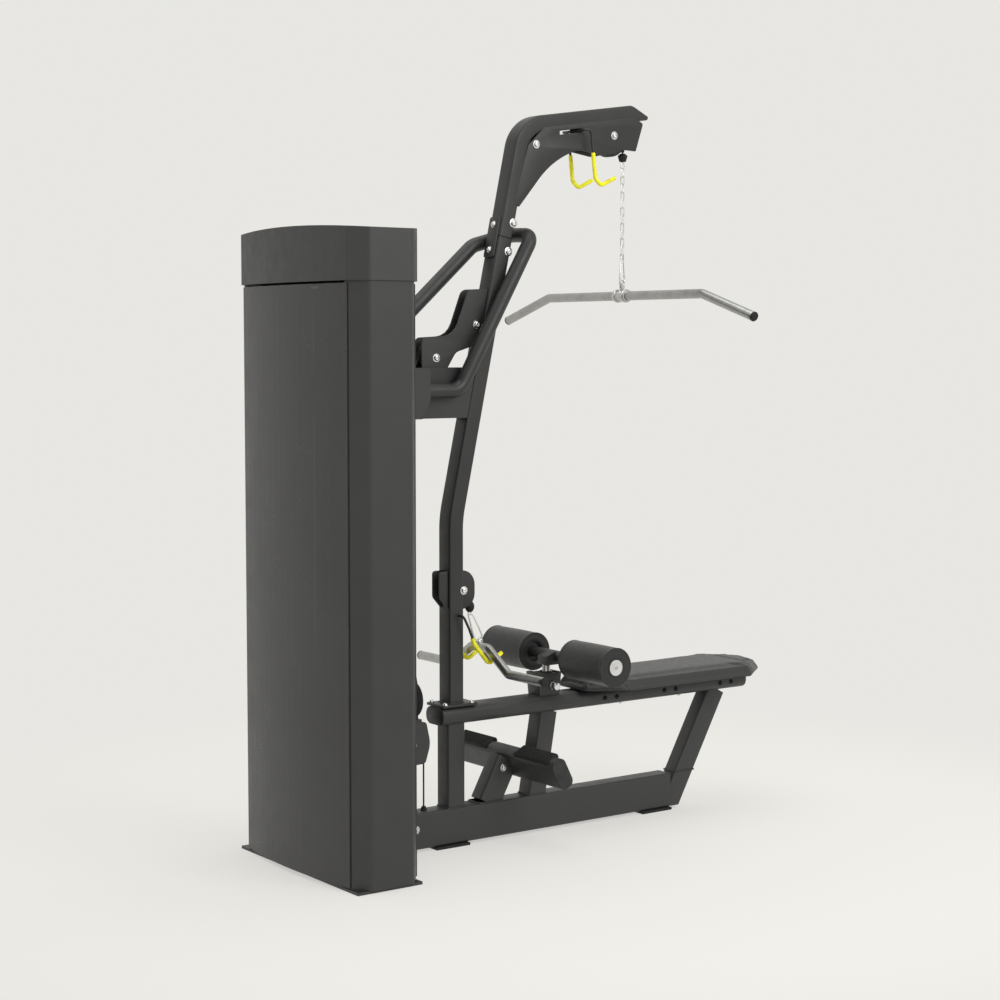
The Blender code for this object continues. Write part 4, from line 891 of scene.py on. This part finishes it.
def lat_line():
    stop = [(0.0, 2.0577), (0.0075, 2.0577), (0.0085, 2.0565), (0.0145, 2.0520), (0.0148, 2.0490),
            (0.0108, 2.0350),
            (0.0098, 2.0330), (0.0, 2.0326)]
    piece("lat_stop", lathe(stop, (LAT_X, 0, 0), "Z", 40), RUBBER, "lat_line", "rubber", "lat_cable_end")
    eye = arc_path([(LAT_X, 0.0, 2.0360, 0.0), (LAT_X - 0.011, 0.0, 2.0120, 0.005), (LAT_X + 0.011, 0.0,
            2.0120, 0.005)], 6, True)
    piece("lat_eye", tube(eye, 0.0016, 10, False, True), BOLT_STEEL, "lat_line", "bright_steel")
    links = []
    pitch = 0.0236
    z = 1.9995
    i = 0
    while z > 1.738:
        links.append(chain_link((LAT_X, 0, z), i * math.pi / 2 + 0.35, pitch + 0.0056, 0.0112, 0.00175))
        z -= pitch
        i += 1
    piece("lat_chain_links", joined(links), BOLT_STEEL, "lat_line", "bright_steel", "lat_chain")
    hook = snap_hook((LAT_X, 0, 1.7440), (LAT_X, 0, 1.6605), 0.026, 0.0027, 0.35)
    piece("lat_snap_hook", hook, BOLT_STEEL, "lat_line", "bright_steel", "lat_carabiner")

    z = LAT_BAR_Z
    path = arc_path([(LAT_X, -0.597, z - 0.071, 0), (LAT_X, -0.371, z, 0.06), (LAT_X, 0.371, z, 0.06),
                     (LAT_X, 0.597, z - 0.071, 0)], 14)
    fine = []
    for a, b in zip(path, path[1:]):
        count = max(1, int((b - a).length / 0.02))
        fine += [a.lerp(b, k / count) for k in range(count)]
    fine.append(path[-1])
    piece("lat_bar_tube", tube(fine, 0.0140, 32), BAR_STEEL, "lat_handle", "bright_steel", "lat_bar")
    for sign, side in ((-1, "near"), (1, "far")):
        outer = Vector((LAT_X, sign * 0.597, z - 0.071))
        inward = (Vector((LAT_X, sign * 0.371, z)) - outer).normalized()
        plug = tube([outer - inward * 0.0008, outer + inward * 0.003, outer + inward * 0.010], 0.0143,
                32)
        piece(f"lat_bar_plug_{side}", plug, RUBBER, "lat_handle", "rubber")
    collar = [(0.0141, 0.0300), (0.0172, 0.0300), (0.0178, 0.0294), (0.0178, 0.0222), (0.0200, 0.0218),
            (0.0204, 0.0210),
              (0.0204, 0.0172), (0.0200, 0.0164), (0.0178, 0.0160), (0.0176, 0.0060), (0.0182,
                      0.0050), (0.0182, -0.0050),
              (0.0176, -0.0060), (0.0178, -0.0160), (0.0200, -0.0164), (0.0204, -0.0172), (0.0204,
                      -0.0210), (0.0200, -0.0218),
              (0.0178, -0.0222), (0.0178, -0.0294), (0.0172, -0.0300), (0.0141, -0.0300)]
    piece("lat_bar_sleeve", lathe(collar, (LAT_X, 0, z), "Y", 48), STEEL, "lat_handle", "bright_steel")
    neck = [(0.0, z + 0.0325), (0.0070, z + 0.0325), (0.0082, z + 0.0310), (0.0082, z + 0.0250),
            (0.0066, z + 0.0235),
            (0.0066, z + 0.0130), (0.0, z + 0.0130)]
    piece("lat_bar_swivel", lathe(neck, (LAT_X, 0, 0), "Z", 32), STEEL, "lat_handle", "bright_steel",
            "lat_swivel")
    ring = [(LAT_X + 0.0085 * math.cos(t), 0.0085 * math.sin(t) * 0.0,
            z + 0.0395 + 0.0075 * math.sin(t)) for t in
            [2 * math.pi * k / 32 for k in range(32)]]
    piece("lat_bar_eye", tube(ring, 0.0024, 12, False, True), STEEL, "lat_handle", "bright_steel")


# --------------------------------------------------------------------------- row line
def row_line():
    x = ROW_PULLEY[0] + ROW_PULLEY[2]
    top = 0.7217
    ball = [(0.0, top), (0.0050, top), (0.0065, top - 0.002), (0.0105, top - 0.006), (0.0136,
            top - 0.013), (0.0142, top - 0.019),
            (0.0128, top - 0.026), (0.0090, top - 0.032), (0.0060, top - 0.0345), (0.0, top - 0.035)]
    piece("row_stop", lathe(ball, (x, 0, 0), "Z", 40), RUBBER, "row_line", "rubber", "row_cable_end")
    turns = [2 * math.pi * k / 28 for k in range(28)]
    eye = [(x + 0.0055 * math.cos(t), 0.0, 0.6835 + 0.0055 * math.sin(t)) for t in turns]
    piece("row_eye", tube(eye, 0.0018, 10, False, True), BOLT_STEEL, "row_line", "bright_steel")
    hook = snap_hook((x + 0.001, 0, 0.6835), (ROW_X - 0.002, 0, ROW_Z + 0.0190), 0.027, 0.0029, 0.0)
    piece("row_snap_hook", hook, BOLT_STEEL, "row_line", "bright_steel", "row_carabiner")
    drop = 0.064
    z = ROW_Z
    path = arc_path([(ROW_X, -0.320, z - drop, 0), (ROW_X, -0.142, z - drop, 0.03), (ROW_X, -0.040, z,
            0.03),
                     (ROW_X, 0.040, z, 0.03), (ROW_X, 0.142, z - drop, 0.03), (ROW_X, 0.320, z - drop,
                             0)], 12)
    fine = []
    for a, b in zip(path, path[1:]):
        count = max(1, int((b - a).length / 0.02))
        fine += [a.lerp(b, k / count) for k in range(count)]
    fine.append(path[-1])
    piece("row_bar_tube", tube(fine, 0.0135, 32), BAR_STEEL, "row_handle", "bright_steel", "row_bar")
    for sign, side in ((-1, "near"), (1, "far")):
        outer = Vector((ROW_X, sign * 0.320, z - drop))
        inward = Vector((0, -sign, 0))
        plug = tube([outer - inward * 0.001, outer + inward * 0.004, outer + inward * 0.010], 0.0138, 32)
        piece(f"row_bar_plug_{side}", plug, RUBBER, "row_handle", "rubber")
    eye = [(ROW_X + 0.0078 * math.cos(t), 0.0,
            z + 0.0185 + 0.0078 * math.sin(t)) for t in [2 * math.pi * k / 28 for k in range(28)]]
    piece("row_bar_eye", tube(eye, 0.0028, 12, False, True), STEEL, "row_handle", "bright_steel")


# --------------------------------------------------------------------------- hooks
def hooks():
    y = -0.0555
    x, z = 0.9725, 2.1148
    high = [(1.086, y, 1.976, 0), (1.034, y, 1.952, 0.014), (1.012, y, 1.972, 0.014), (0.996, y, z,
            0.010), (x, y, z, 0.008)]
    x, z = 0.528, 0.684
    low = [(0.664, y, 0.566, 0), (0.618, y, 0.536, 0.016), (0.566, y, 0.600, 0.03), (0.548, y, 0.645,
            0.03), (x, y, z, 0.010)]
    for name, half in (("upper_hooks", high), ("lower_hooks", low)):
        far = [(a, -b, c, r) for a, b, c, r in reversed(half)]
        path = arc_path(half + far, 8)
        piece(name + "_rod", tube(path, 0.0038, 14), PAINT, "frame", "yellow_sleeve", name)
    for name, half, top in (("upper", high, Vector((1.0035, y, 2.048))), ("lower", low, Vector((0.560,
            y, 0.618)))):
        path = arc_path(half, 10)
        keep = []
        for p in path:
            if p.z <= top.z and not (name == "lower" and p.x < 0.555):
                keep.append(p)
        upper = half[3] if name == "upper" else half[3]
        above = Vector(upper[:3])
        direction = (above - keep[-1]).normalized()
        reach = (keep[-1].z - top.z) / direction.z if direction.z else 0
        keep.append(keep[-1] + direction * abs(reach))
        first = keep[0]
        out = (first - keep[1]).normalized()
        keep[0] = first + out * 0.002
        for sign, side in ((1, "near"), (-1, "far")):
            pts = [(p.x, sign * p.y, p.z) for p in keep]
            piece(f"{name}_sleeve_{side}", tube(pts, 0.0062, 18), YELLOW, "frame", "yellow_sleeve")


# --------------------------------------------------------------------------- loop tube
def loop_tube():
    y = 0.0575
    route = arc_path([(0.3945, -y, 1.342, 0), (0.512, -y, 1.342, 0.050), (0.776, -y, 1.795, 0.036),
            (0.770, y, 1.800, 0.036),
                      (0.640, y, 1.765, 0.060), (0.2965, y, 1.462, 0)], 14)
    piece("loop_round_tube", tube(route, 0.0215, 36, False), PAINT, "frame", "frame_paint", "loop_tube")
    ring = [(0.3955, -y + 0.0222 * math.cos(t),
            1.342 + 0.0222 * math.sin(t)) for t in [2 * math.pi * k / 40 for k in range(41)]]
    piece("loop_weld_near", bead(ring, 0.0026), PAINT, "frame", "frame_paint")


# --------------------------------------------------------------------------- lower frame
def end_cap(name, outline, normal_axis, at, sign, mat=None, thick=0.004):
    """A moulded plug in a tube's end."""
    low, high = sorted((at, at + sign * thick))
    mesh = flat_plate([outline], low, high, 0.0015, normal_axis)
    piece(name, mesh, mat or CAP_PLASTIC, "frame", "rubber")


def lower_frame():
    beam = swept([(0.167, 0.0625), (1.345, 0.0625)], section_box(0.0315, 0.0535, 0.006))
    piece("base_beam", beam, PAINT, "frame", "frame_paint", "lower_frame")
    piece("base_end_plate", block((0.1508, -0.048, 0.0105), (0.1690, 0.048, 0.1075), 0.0015), PAINT,
            "frame", "frame_paint")
    piece("short_pillar", swept([(0.5205, 0.112), (0.5205, 0.368)], section_box(0.030, 0.030, 0.006)),
            PAINT, "frame", "frame_paint")
    piece("pillar_weld", bead(rect_ring(0.490, 0.551, -0.0305, 0.0305, 0.1168)), PAINT, "frame",
            "frame_paint")
    rail = swept([(0.4645, 0.3905), (1.6525, 0.3905)], section_box(0.045, 0.0265, 0.0235, 10))
    piece("seat_rail", rail, PAINT, "frame", "frame_paint")
    oval = [(p[1], p[0] + 0.3905) for p in section_box(0.0445, 0.0260, 0.0232, 10)]
    end_cap("rail_cap_tower", oval, "YZ", 0.4645, -1, NYLON, 0.0025)
    end_cap("rail_cap_bench", oval, "YZ", 1.6525, 1, NYLON, 0.0025)
    piece("mid_post", swept([(0.818, 0.111), (0.8620, 0.366)], section_box(0.0295, 0.0315, 0.006)),
            PAINT, "frame", "frame_paint")
    strut = [(1.348, 0.0100), (1.5440, 0.3660)]
    piece("rear_strut", trimmed(swept(strut, section_box(0.0290, 0.0350, 0.010)), 0.0095), PAINT,
            "frame", "frame_paint")
    foot_strut = swept([(0.643, 0.110), (0.712, 0.236)], section_box(0.0285, 0.0395, 0.010))
    piece("foot_strut", foot_strut, PAINT, "frame", "frame_paint")
    for name, ring in (("mid_post_weld", slanted_ring(0.8185, 0.1168, 0.0325, 0.0300)),
                       ("foot_strut_weld", slanted_ring(0.6465, 0.1168, 0.0455, 0.0290)),
                       ("rear_strut_weld", slanted_ring(1.4065, 0.1168, 0.0405, 0.0295))):
        piece(name, bead(ring), PAINT, "frame", "frame_paint")
    bracket = flat_plate([[(0.8265, 0.414), (0.900, 0.414), (0.9075, 0.484), (0.893, 0.486), (0.889,
            0.4825), (0.838, 0.4825),
                           (0.834, 0.486), (0.8185, 0.486)]], -0.0305, 0.0305, 0.0016)
    piece("thigh_bracket", bracket, PAINT, "frame", "frame_paint")
    collar = lathe([(0.0133, 0.4862), (0.0195, 0.4862), (0.0205, 0.4852), (0.0205, 0.4815), (0.0133,
            0.4815)], (POST_X, 0, 0), "Z", 40)
    piece("thigh_collar", collar, NYLON, "frame", "nylon")
    boss = lathe([(0.0066, 0.0375), (0.0120, 0.0375), (0.0128, 0.0366), (0.0128, 0.0300), (0.0066,
            0.0300)], (0, 0, 0), "Y", 6)
    boss.transform(Matrix.Translation((POST_X, 0, 0.444)) @ Matrix.Rotation(math.pi, 4, "Z"))
    piece("pin_boss", boss, BOLT_STEEL, "frame", "bright_steel", smooth=20.0)
    for i, x in enumerate((1.090, 1.330, 1.565)):
        plate = flat_plate([[(x - 0.030, -0.105), (x + 0.030, -0.105), (x + 0.030, 0.105), (x - 0.030,
                0.105)]], 0.4135, 0.4192,
                           0.0008, "XY")
        piece(f"seat_mount_{i}", plate, PAINT, "frame", "frame_paint")
        for j, dx in enumerate((-0.0235, 0.0235)):
            for sign, side in ((-1, "near"), (1, "far")):
                piece(f"seat_bolt_{i}_{j}_{side}", bolt_mesh((x + dx, sign * 0.0445, 0.388), "Y", sign,
                        0.0058, 0.004), RUBBER,
                      "frame", "rubber")
    for i, x in enumerate((1.164, 1.404)):
        piece(f"rail_stud_{i}", nut_mesh((x, 0.0, 0.3640), "Z", -1, 0.0075, 0.006), BOLT_STEEL, "frame",
                "bright_steel")
    anchor = lathe([(0.0, 0.1280), (0.0052, 0.1280), (0.0068, 0.1268), (0.0078, 0.1220), (0.0092,
            0.1190), (0.0096, 0.1156),
                    (0.0, 0.1156)], (0.423, 0, 0), "Z", 32)
    piece("cable_anchor", anchor, RUBBER, "frame", "rubber")


def slanted_ring(x, z, half_x, half_y):
    ring = arc_path([(-half_x, -half_y, 0.007), (half_x, -half_y, 0.007), (half_x, half_y, 0.007),
            (-half_x, half_y, 0.007)], 3, True)
    ring.append(ring[0])
    return [(x + p.x, p.y, z) for p in ring]


def trimmed(mesh, low):
    """What is left of a mesh above a height."""
    bm = bmesh.new()
    bm.from_mesh(mesh)
    found = bmesh.ops.bisect_plane(bm, geom=bm.verts[:] + bm.edges[:] + bm.faces[:], plane_co=(0, 0,
            low), plane_no=(0, 0, -1),
                                   clear_outer=True)
    edges = [e for e in found["geom_cut"] if isinstance(e, bmesh.types.BMEdge)]
    bmesh.ops.holes_fill(bm, edges=edges)
    return mesh_of(bm)


def foot_beam():
    long, thick = 0.0475, 0.025
    turn = Matrix.Rotation(FOOT_TILT, 2)
    ring = arc_path([(-thick, -long, 0.020), (thick, -long, 0.020), (thick, long, 0.020), (-thick, long,
            0.020)], 8, True)
    centre = Vector((FOOT_X, FOOT_Z))
    outline = [tuple(turn @ p + centre) for p in ring]
    bm = bmesh.new()
    loft(bm, [[(x, y, z) for x, z in outline] for y in (-0.2595, 0.2595)])
    piece("foot_tube", mesh_of(bm), PAINT, "frame", "frame_paint", "foot_beam")
    for sign, side in ((-1, "near"), (1, "far")):
        low, high = sorted((sign * 0.2595, sign * 0.2620))
        piece(f"foot_cap_{side}", flat_plate([outline], low, high, 0.0012), CAP_PLASTIC, "frame",
                "rubber")
        low, high = sorted((sign * 0.070, sign * 0.235))
        lean = Matrix.Translation((FOOT_X, 0, FOOT_Z)) @ Matrix.Rotation(-FOOT_TILT, 4, "Y")
        pads = [block((-thick + 0.004, low, long - 0.010), (thick + 0.002, high, long + 0.0022), 0.0020)]
        for k in range(15):
            y = low + 0.0085 + k * (high - low - 0.017) / 14
            pads.append(block((-thick + 0.006, y - 0.0028, long + 0.0010), (thick, y + 0.0028,
                    long + 0.0040), 0.0010, 2))
        tread = joined(pads)
        tread.transform(lean)
        piece(f"foot_tread_{side}", tread, RUBBER, "frame", "rubber")
    for i, (x, z, y) in enumerate(((0.690, 0.214, -0.030), (0.748, 0.190, -0.030))):
        piece(f"foot_bolt_{i}", bolt_mesh((x, y, z), "Y", -1, 0.0085, 0.006), BOLT_STEEL, "frame",
                "bright_steel")


# --------------------------------------------------------------------------- thigh hold-down
def thigh():
    post = lathe([(0.0, 0.5230), (0.0118, 0.5230), (0.0125, 0.5220), (0.0125, 0.3730), (0.0118, 0.3718),
            (0.0, 0.3718)],
                 (POST_X, 0, 0), "Z", 40)
    piece("thigh_post_bar", post, STEEL, "thigh_hold", "bright_steel", "thigh_post")
    saddle = flat_plate([[tuple(p) for p in arc_path([(POST_X - 0.0155, 0.505, 0.003), (THIGH_X + 0.005,
            0.505, 0.004),
                                                      (THIGH_X + 0.014, 0.524, 0.008), (THIGH_X - 0.004,
                                                      0.5485, 0.012),
                                                      (POST_X - 0.0155, 0.532,
                                                      0.006)], 6, True)]], -0.022, 0.022, 0.001)
    piece("thigh_saddle", saddle, PAINT, "thigh_hold", "frame_paint")
    bar = lathe([(0.0, 0.3008), (0.0150, 0.3008), (0.0165, 0.2995), (0.0165, -0.2995), (0.0150,
            -0.3008), (0.0, -0.3008)],
                (THIGH_X, 0, THIGH_Z), "Y", 40)
    piece("thigh_cross_tube", bar, PAINT, "thigh_hold", "frame_paint")
    pin = [(0.0, 0.058), (0.0085, 0.0578), (0.0108, 0.0565), (0.0118, 0.0540), (0.0120, 0.0480),
            (0.0108, 0.0450), (0.0112, 0.0420),
           (0.0105, 0.0395), (0.0062, 0.0385), (0.0060, 0.0142), (0.0046, 0.0138), (0.0046,
                   0.0040), (0.0, 0.0030)]
    shape = lathe(pin, (0, 0, 0), "Y", 36)
    shape.transform(Matrix.Translation((POST_X, 0, 0.444)) @ Matrix.Rotation(math.pi, 4, "Z"))
    piece("thigh_pull_pin", shape, BOLT_STEEL, "hold_pin", "bright_steel", "thigh_pin")
    for sign, side in ((-1, "near"), (1, "far")):
        roller(sign, side)


def roller(sign, side):
    """A foam roller in a sewn vinyl sleeve: slightly crowned, pulled in over its ends, with welted edges."""
    r, low, high = 0.0592, 0.096, 0.300
    steps = 96
    profile = []
    count = 44
    for k in range(count + 1):
        s = k / count
        y = high - 0.0045 - (high - low - 0.009) * s
        crown = 0.0009 * math.sin(math.pi * s)
        profile.append((r - 0.0012 + crown, y))
    outer = [(0.0172, high - 0.0030), (0.0200, high - 0.0012), (0.0290, high - 0.0006), (0.0460,
            high - 0.0012), (0.0520, high - 0.0022),
             (0.0555, high - 0.0014), (0.0575, high - 0.0010), (0.0590, high - 0.0022), (0.0588,
                     high - 0.0040)]
    inner = [(0.0588, low + 0.0040), (0.0590, low + 0.0022), (0.0575, low + 0.0010), (0.0555,
            low + 0.0014), (0.0520, low + 0.0022),
             (0.0460, low + 0.0012), (0.0320, low + 0.0008), (0.0300, low + 0.0030), (0.0292,
                     low + 0.0120), (0.0172, low + 0.0120)]
    mesh = lathe(outer + profile[1:-1] + inner, (0, 0, 0), "Y", steps)
    for v in mesh.vertices:
        radial = math.hypot(v.co.x, v.co.z)
        if radial > 0.05 and low + 0.008 < v.co.y < high - 0.008:
            wave = noise.noise(Vector((v.co.x * 22, v.co.y * 9, v.co.z * 22)) + Vector((sign * 7.0, 0,
                    0)))
            fine = noise.noise(Vector((v.co.x * 70, v.co.y * 26, v.co.z * 70)))
            grow = 1 + (0.0007 * wave + 0.00025 * fine) / radial
            v.co.x *= grow
            v.co.z *= grow
    if sign < 0:
        mesh.transform(Matrix.Rotation(math.pi, 4, "Z"))
    mesh.transform(Matrix.Translation((THIGH_X, 0, THIGH_Z)))
    pad = piece(f"roller_pad_{side}", mesh, ROLL_HIDE, f"roller_{side}", "upholstery",
            f"thigh_roller_{side}", smooth=60.0)
    disc = [(0.0, high + 0.0022), (0.0200, high + 0.0022), (0.0232, high + 0.0016), (0.0240,
            high + 0.0004), (0.0240, high - 0.0020),
            (0.0, high - 0.0020)]
    ring = [(0.0242, high + 0.0008), (0.0278, high + 0.0010), (0.0284, high + 0.0002), (0.0284,
            high - 0.0020), (0.0242, high - 0.0020)]
    screw = [(0.0, high + 0.0034), (0.0040, high + 0.0036), (0.0060, high + 0.0026), (0.0062,
            high + 0.0020), (0.0, high + 0.0020)]
    for name, profile, mat, slot in (("disc", disc, BOLT_STEEL, "bright_steel"), ("ring", ring, NYLON,
            "nylon"),
                                     ("screw", screw, STEEL, "bright_steel")):
        shape = lathe(profile, (0, 0, 0), "Y", 48)
        if sign < 0:
            shape.transform(Matrix.Rotation(math.pi, 4, "Z"))
        shape.transform(Matrix.Translation((THIGH_X, 0, THIGH_Z)))
        piece(f"roller_{name}_{side}", shape, mat, f"roller_{side}", slot)


# --------------------------------------------------------------------------- seat
SEAT_LOW, SEAT_TOP = 0.4195, 0.462


def seat_outline(half, inset, steps=8):
    nose, tail = 0.965 + inset, 1.715 - inset
    corners = [(nose, -half * 0.45, 0.02), (1.075, -half, 0.05), (1.585, -half, 0.02), (tail - 0.020,
            -half * 0.42, 0.02),
               (tail, 0.0, 0.15), (tail - 0.020, half * 0.42, 0.02), (1.585, half, 0.02), (1.075, half,
                       0.05), (nose, half * 0.45, 0.02)]
    return [tuple(p) for p in arc_path(corners, steps, True)]


def seat():
    bm = bmesh.new()
    rings = [(0.1445, 0.0055, SEAT_LOW + 0.0010), (0.1470, 0.0030, SEAT_LOW + 0.0050), (0.1475, 0.0025,
            SEAT_LOW + 0.0090),
             (0.1375, 0.0125, SEAT_TOP - 0.0090), (0.1345, 0.0155, SEAT_TOP - 0.0055)]
    loft(bm, [[(x, y, z) for x, y in seat_outline(half, inset)] for half, inset, z in rings])
    bmesh.ops.triangulate(bm, faces=[f for f in bm.faces if len(f.verts) > 4])
    obj = bpy.data.objects.new("seat_cushion", mesh_of(bm))
    scene.collection.objects.link(obj)
    remesh = obj.modifiers.new("Remesh", "REMESH")
    remesh.mode = "VOXEL"
    remesh.voxel_size = 0.0050
    graph = bpy.context.evaluated_depsgraph_get()
    mesh = bpy.data.meshes.new_from_object(obj.evaluated_get(graph))
    obj.modifiers.clear()
    obj.data = mesh
    rest = [v.co.copy() for v in obj.data.vertices]
    group = obj.vertex_groups.new(name="held")
    held = [v.index for v in obj.data.vertices if v.co.z < SEAT_LOW + 0.008]
    group.add(held, 1.0, "REPLACE")
    cloth = obj.modifiers.new("Cloth", "CLOTH")
    cloth.settings.quality = 6
    cloth.settings.mass = 0.3
    cloth.settings.tension_stiffness = 18
    cloth.settings.compression_stiffness = 18
    cloth.settings.shear_stiffness = 6
    cloth.settings.bending_stiffness = 1.5
    cloth.settings.use_pressure = True
    cloth.settings.uniform_pressure_force = 4.0
    cloth.settings.vertex_group_mass = "held"
    cloth.settings.effector_weights.gravity = 0.0
    cloth.collision_settings.use_collision = False
    cloth.point_cache.frame_start = 1
    cloth.point_cache.frame_end = 20
    for step in range(1, 21):
        scene.frame_set(step)
    graph = bpy.context.evaluated_depsgraph_get()
    puffed = bpy.data.meshes.new_from_object(obj.evaluated_get(graph))
    limit = 0.0055
    for v, start in zip(puffed.vertices, rest):
        step = v.co - start
        if step.length > limit:
            v.co = start + step * (limit / step.length)
    obj.modifiers.clear()
    obj.vertex_groups.clear()
    obj.data = puffed
    scene.frame_set(1)
    sub = obj.modifiers.new("Subdivision", "SUBSURF")
    sub.levels = 1
    sub.render_levels = 1
    graph = bpy.context.evaluated_depsgraph_get()
    mesh = bpy.data.meshes.new_from_object(obj.evaluated_get(graph))
    obj.modifiers.clear()
    obj.data = mesh
    for v in mesh.vertices:
        depth = 0.0
        for seam in (1.080, 1.600):
            depth += 0.0022 * math.exp(-((v.co.x - seam) / 0.0026) ** 2)
        if v.co.z < SEAT_LOW + 0.004:
            depth = 0.0
        inward = Vector((0, -v.co.y * 4.0, -(v.co.z - 0.436) * 18.0))
        if inward.length > 0:
            v.co += inward.normalized() * depth
        v.co.z = max(v.co.z, SEAT_LOW + 0.0003)
    mesh.materials.clear()
    mesh.materials.append(HIDE)
    mesh.shade_smooth()
    obj.name = "seat_cushion"
    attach(obj, "frame")
    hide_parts("seat_pad")
    made["seat_cushion"] = obj
    base = flat_plate([seat_outline(0.1420, 0.012)], SEAT_LOW - 0.0003, SEAT_LOW + 0.0015, 0.0004, "XY")
    piece("seat_board", base, RUBBER, "frame", "rubber")
    stitching(obj)


def stitching(obj):
    """Thread dashes along both sides of each seam, laid on the cushion's surface."""
    graph = bpy.context.evaluated_depsgraph_get()
    target = obj.evaluated_get(graph)
    meshes = []
    for seam in (1.080, 1.600):
        for shift in (-0.0055, 0.0055):
            x = seam + shift
            route = []
            half = 0.150
            count = 150
            for k in range(count + 1):
                y = -half + 2 * half * k / count
                hit, where, normal, _ = target.ray_cast(Vector((x, y, 0.60)), Vector((0, 0, -1)))
                if hit and where.z > SEAT_LOW + 0.012:
                    route.append(where + normal * 0.0002)
            length = 0.0
            dash = []
            for a, b in zip(route, route[1:]):
                if length % 0.0065 < 0.0045:
                    dash.append(a)
                elif len(dash) > 1:
                    meshes.append(tube(dash, 0.00045, 6, False))
                    dash = []
                else:
                    dash = []
                length += (b - a).length
    if meshes:
        piece("seat_stitching", joined(meshes), THREAD, "frame", "upholstery")


# --------------------------------------------------------------------------- tower details: black strips as painted shade lines at the cover seams
def tower_seam_shade_lines():
    # painted shade: thin black strips stand for the shadow lines where the rear panel and front cover meet the pillars
    for sign, side in ((-1, "near"), (1, "far")):
        for edge_x, name in ((0.0006, "rear"), (0.2094, "front")):
            strip = block((edge_x - 0.0012, sign * 0.2812 - 0.0012, 0.013), (edge_x + 0.0012,
                    sign * 0.2812 + 0.0012, 1.636), 0.0005, 1)
            piece(f"seam_shade_strip_{name}_{side}", strip, RUBBER, "frame", "rubber")


upright()
boom()
wheels_and_axles()
cables()
lat_line()
row_line()
hooks()
loop_tube()
lower_frame()
foot_beam()
thigh()
seat()
tower_seam_shade_lines()

# --------------------------------------------------------------------------- floor and light
BACK = (0.807, 0.799, 0.768)


def floor():
    bm = bmesh.new()
    bmesh.ops.create_grid(bm, x_segments=1, y_segments=1, size=40.0)
    mesh = mesh_of(bm)
    obj = bpy.data.objects.new("floor", mesh)
    obj.location = (0.8, 0.0, -0.0002)
    scene.collection.objects.link(obj)
    mat = bpy.data.materials.new("floor")
    mat.use_nodes = True
    tree = mat.node_tree
    tree.nodes.clear()
    out = tree.nodes.new("ShaderNodeOutputMaterial")
    diffuse = tree.nodes.new("ShaderNodeBsdfDiffuse")
    diffuse.inputs["Color"].default_value = (0.86, 0.852, 0.818, 1.0)
    glow = tree.nodes.new("ShaderNodeEmission")
    glow.inputs["Color"].default_value = (*BACK, 1.0)
    where = tree.nodes.new("ShaderNodeTexCoord")
    length = tree.nodes.new("ShaderNodeVectorMath")
    length.operation = "LENGTH"
    tree.links.new(where.outputs["Object"], length.inputs[0])
    fade = tree.nodes.new("ShaderNodeMapRange")
    fade.interpolation_type = "SMOOTHSTEP"
    fade.inputs["From Min"].default_value = 1.25
    fade.inputs["From Max"].default_value = 2.6
    fade.inputs["To Min"].default_value = 0.62
    tree.links.new(length.outputs["Value"], fade.inputs["Value"])
    mix = tree.nodes.new("ShaderNodeMixShader")
    tree.links.new(fade.outputs["Result"], mix.inputs["Fac"])
    tree.links.new(diffuse.outputs["BSDF"], mix.inputs[1])
    tree.links.new(glow.outputs["Emission"], mix.inputs[2])
    tree.links.new(mix.outputs["Shader"], out.inputs["Surface"])
    mesh.materials.append(mat)


def light(name, location, target, size, power, colour=(1, 1, 1)):
    data = bpy.data.lights.new(name, "AREA")
    data.shape = "RECTANGLE"
    data.size, data.size_y = size
    data.energy = power
    data.color = colour
    obj = bpy.data.objects.new(name, data)
    obj.location = location
    obj.rotation_mode = "QUATERNION"
    obj.rotation_quaternion = (Vector(target) - Vector(location)).to_track_quat("-Z", "Y")
    scene.collection.objects.link(obj)


floor()
world = bpy.data.worlds.new("studio")
world.use_nodes = True
world.node_tree.nodes["Background"].inputs["Color"].default_value = (*BACK, 1.0)
world.node_tree.nodes["Background"].inputs["Strength"].default_value = 1.0
scene.world = world
light("key", (1.6, -4.2, 3.6), (0.6, 0.0, 1.0), (3.0, 2.4), 90.0)
light("top", (0.4, 0.2, 4.6), (0.6, 0.0, 0.8), (3.0, 3.0), 40.0)
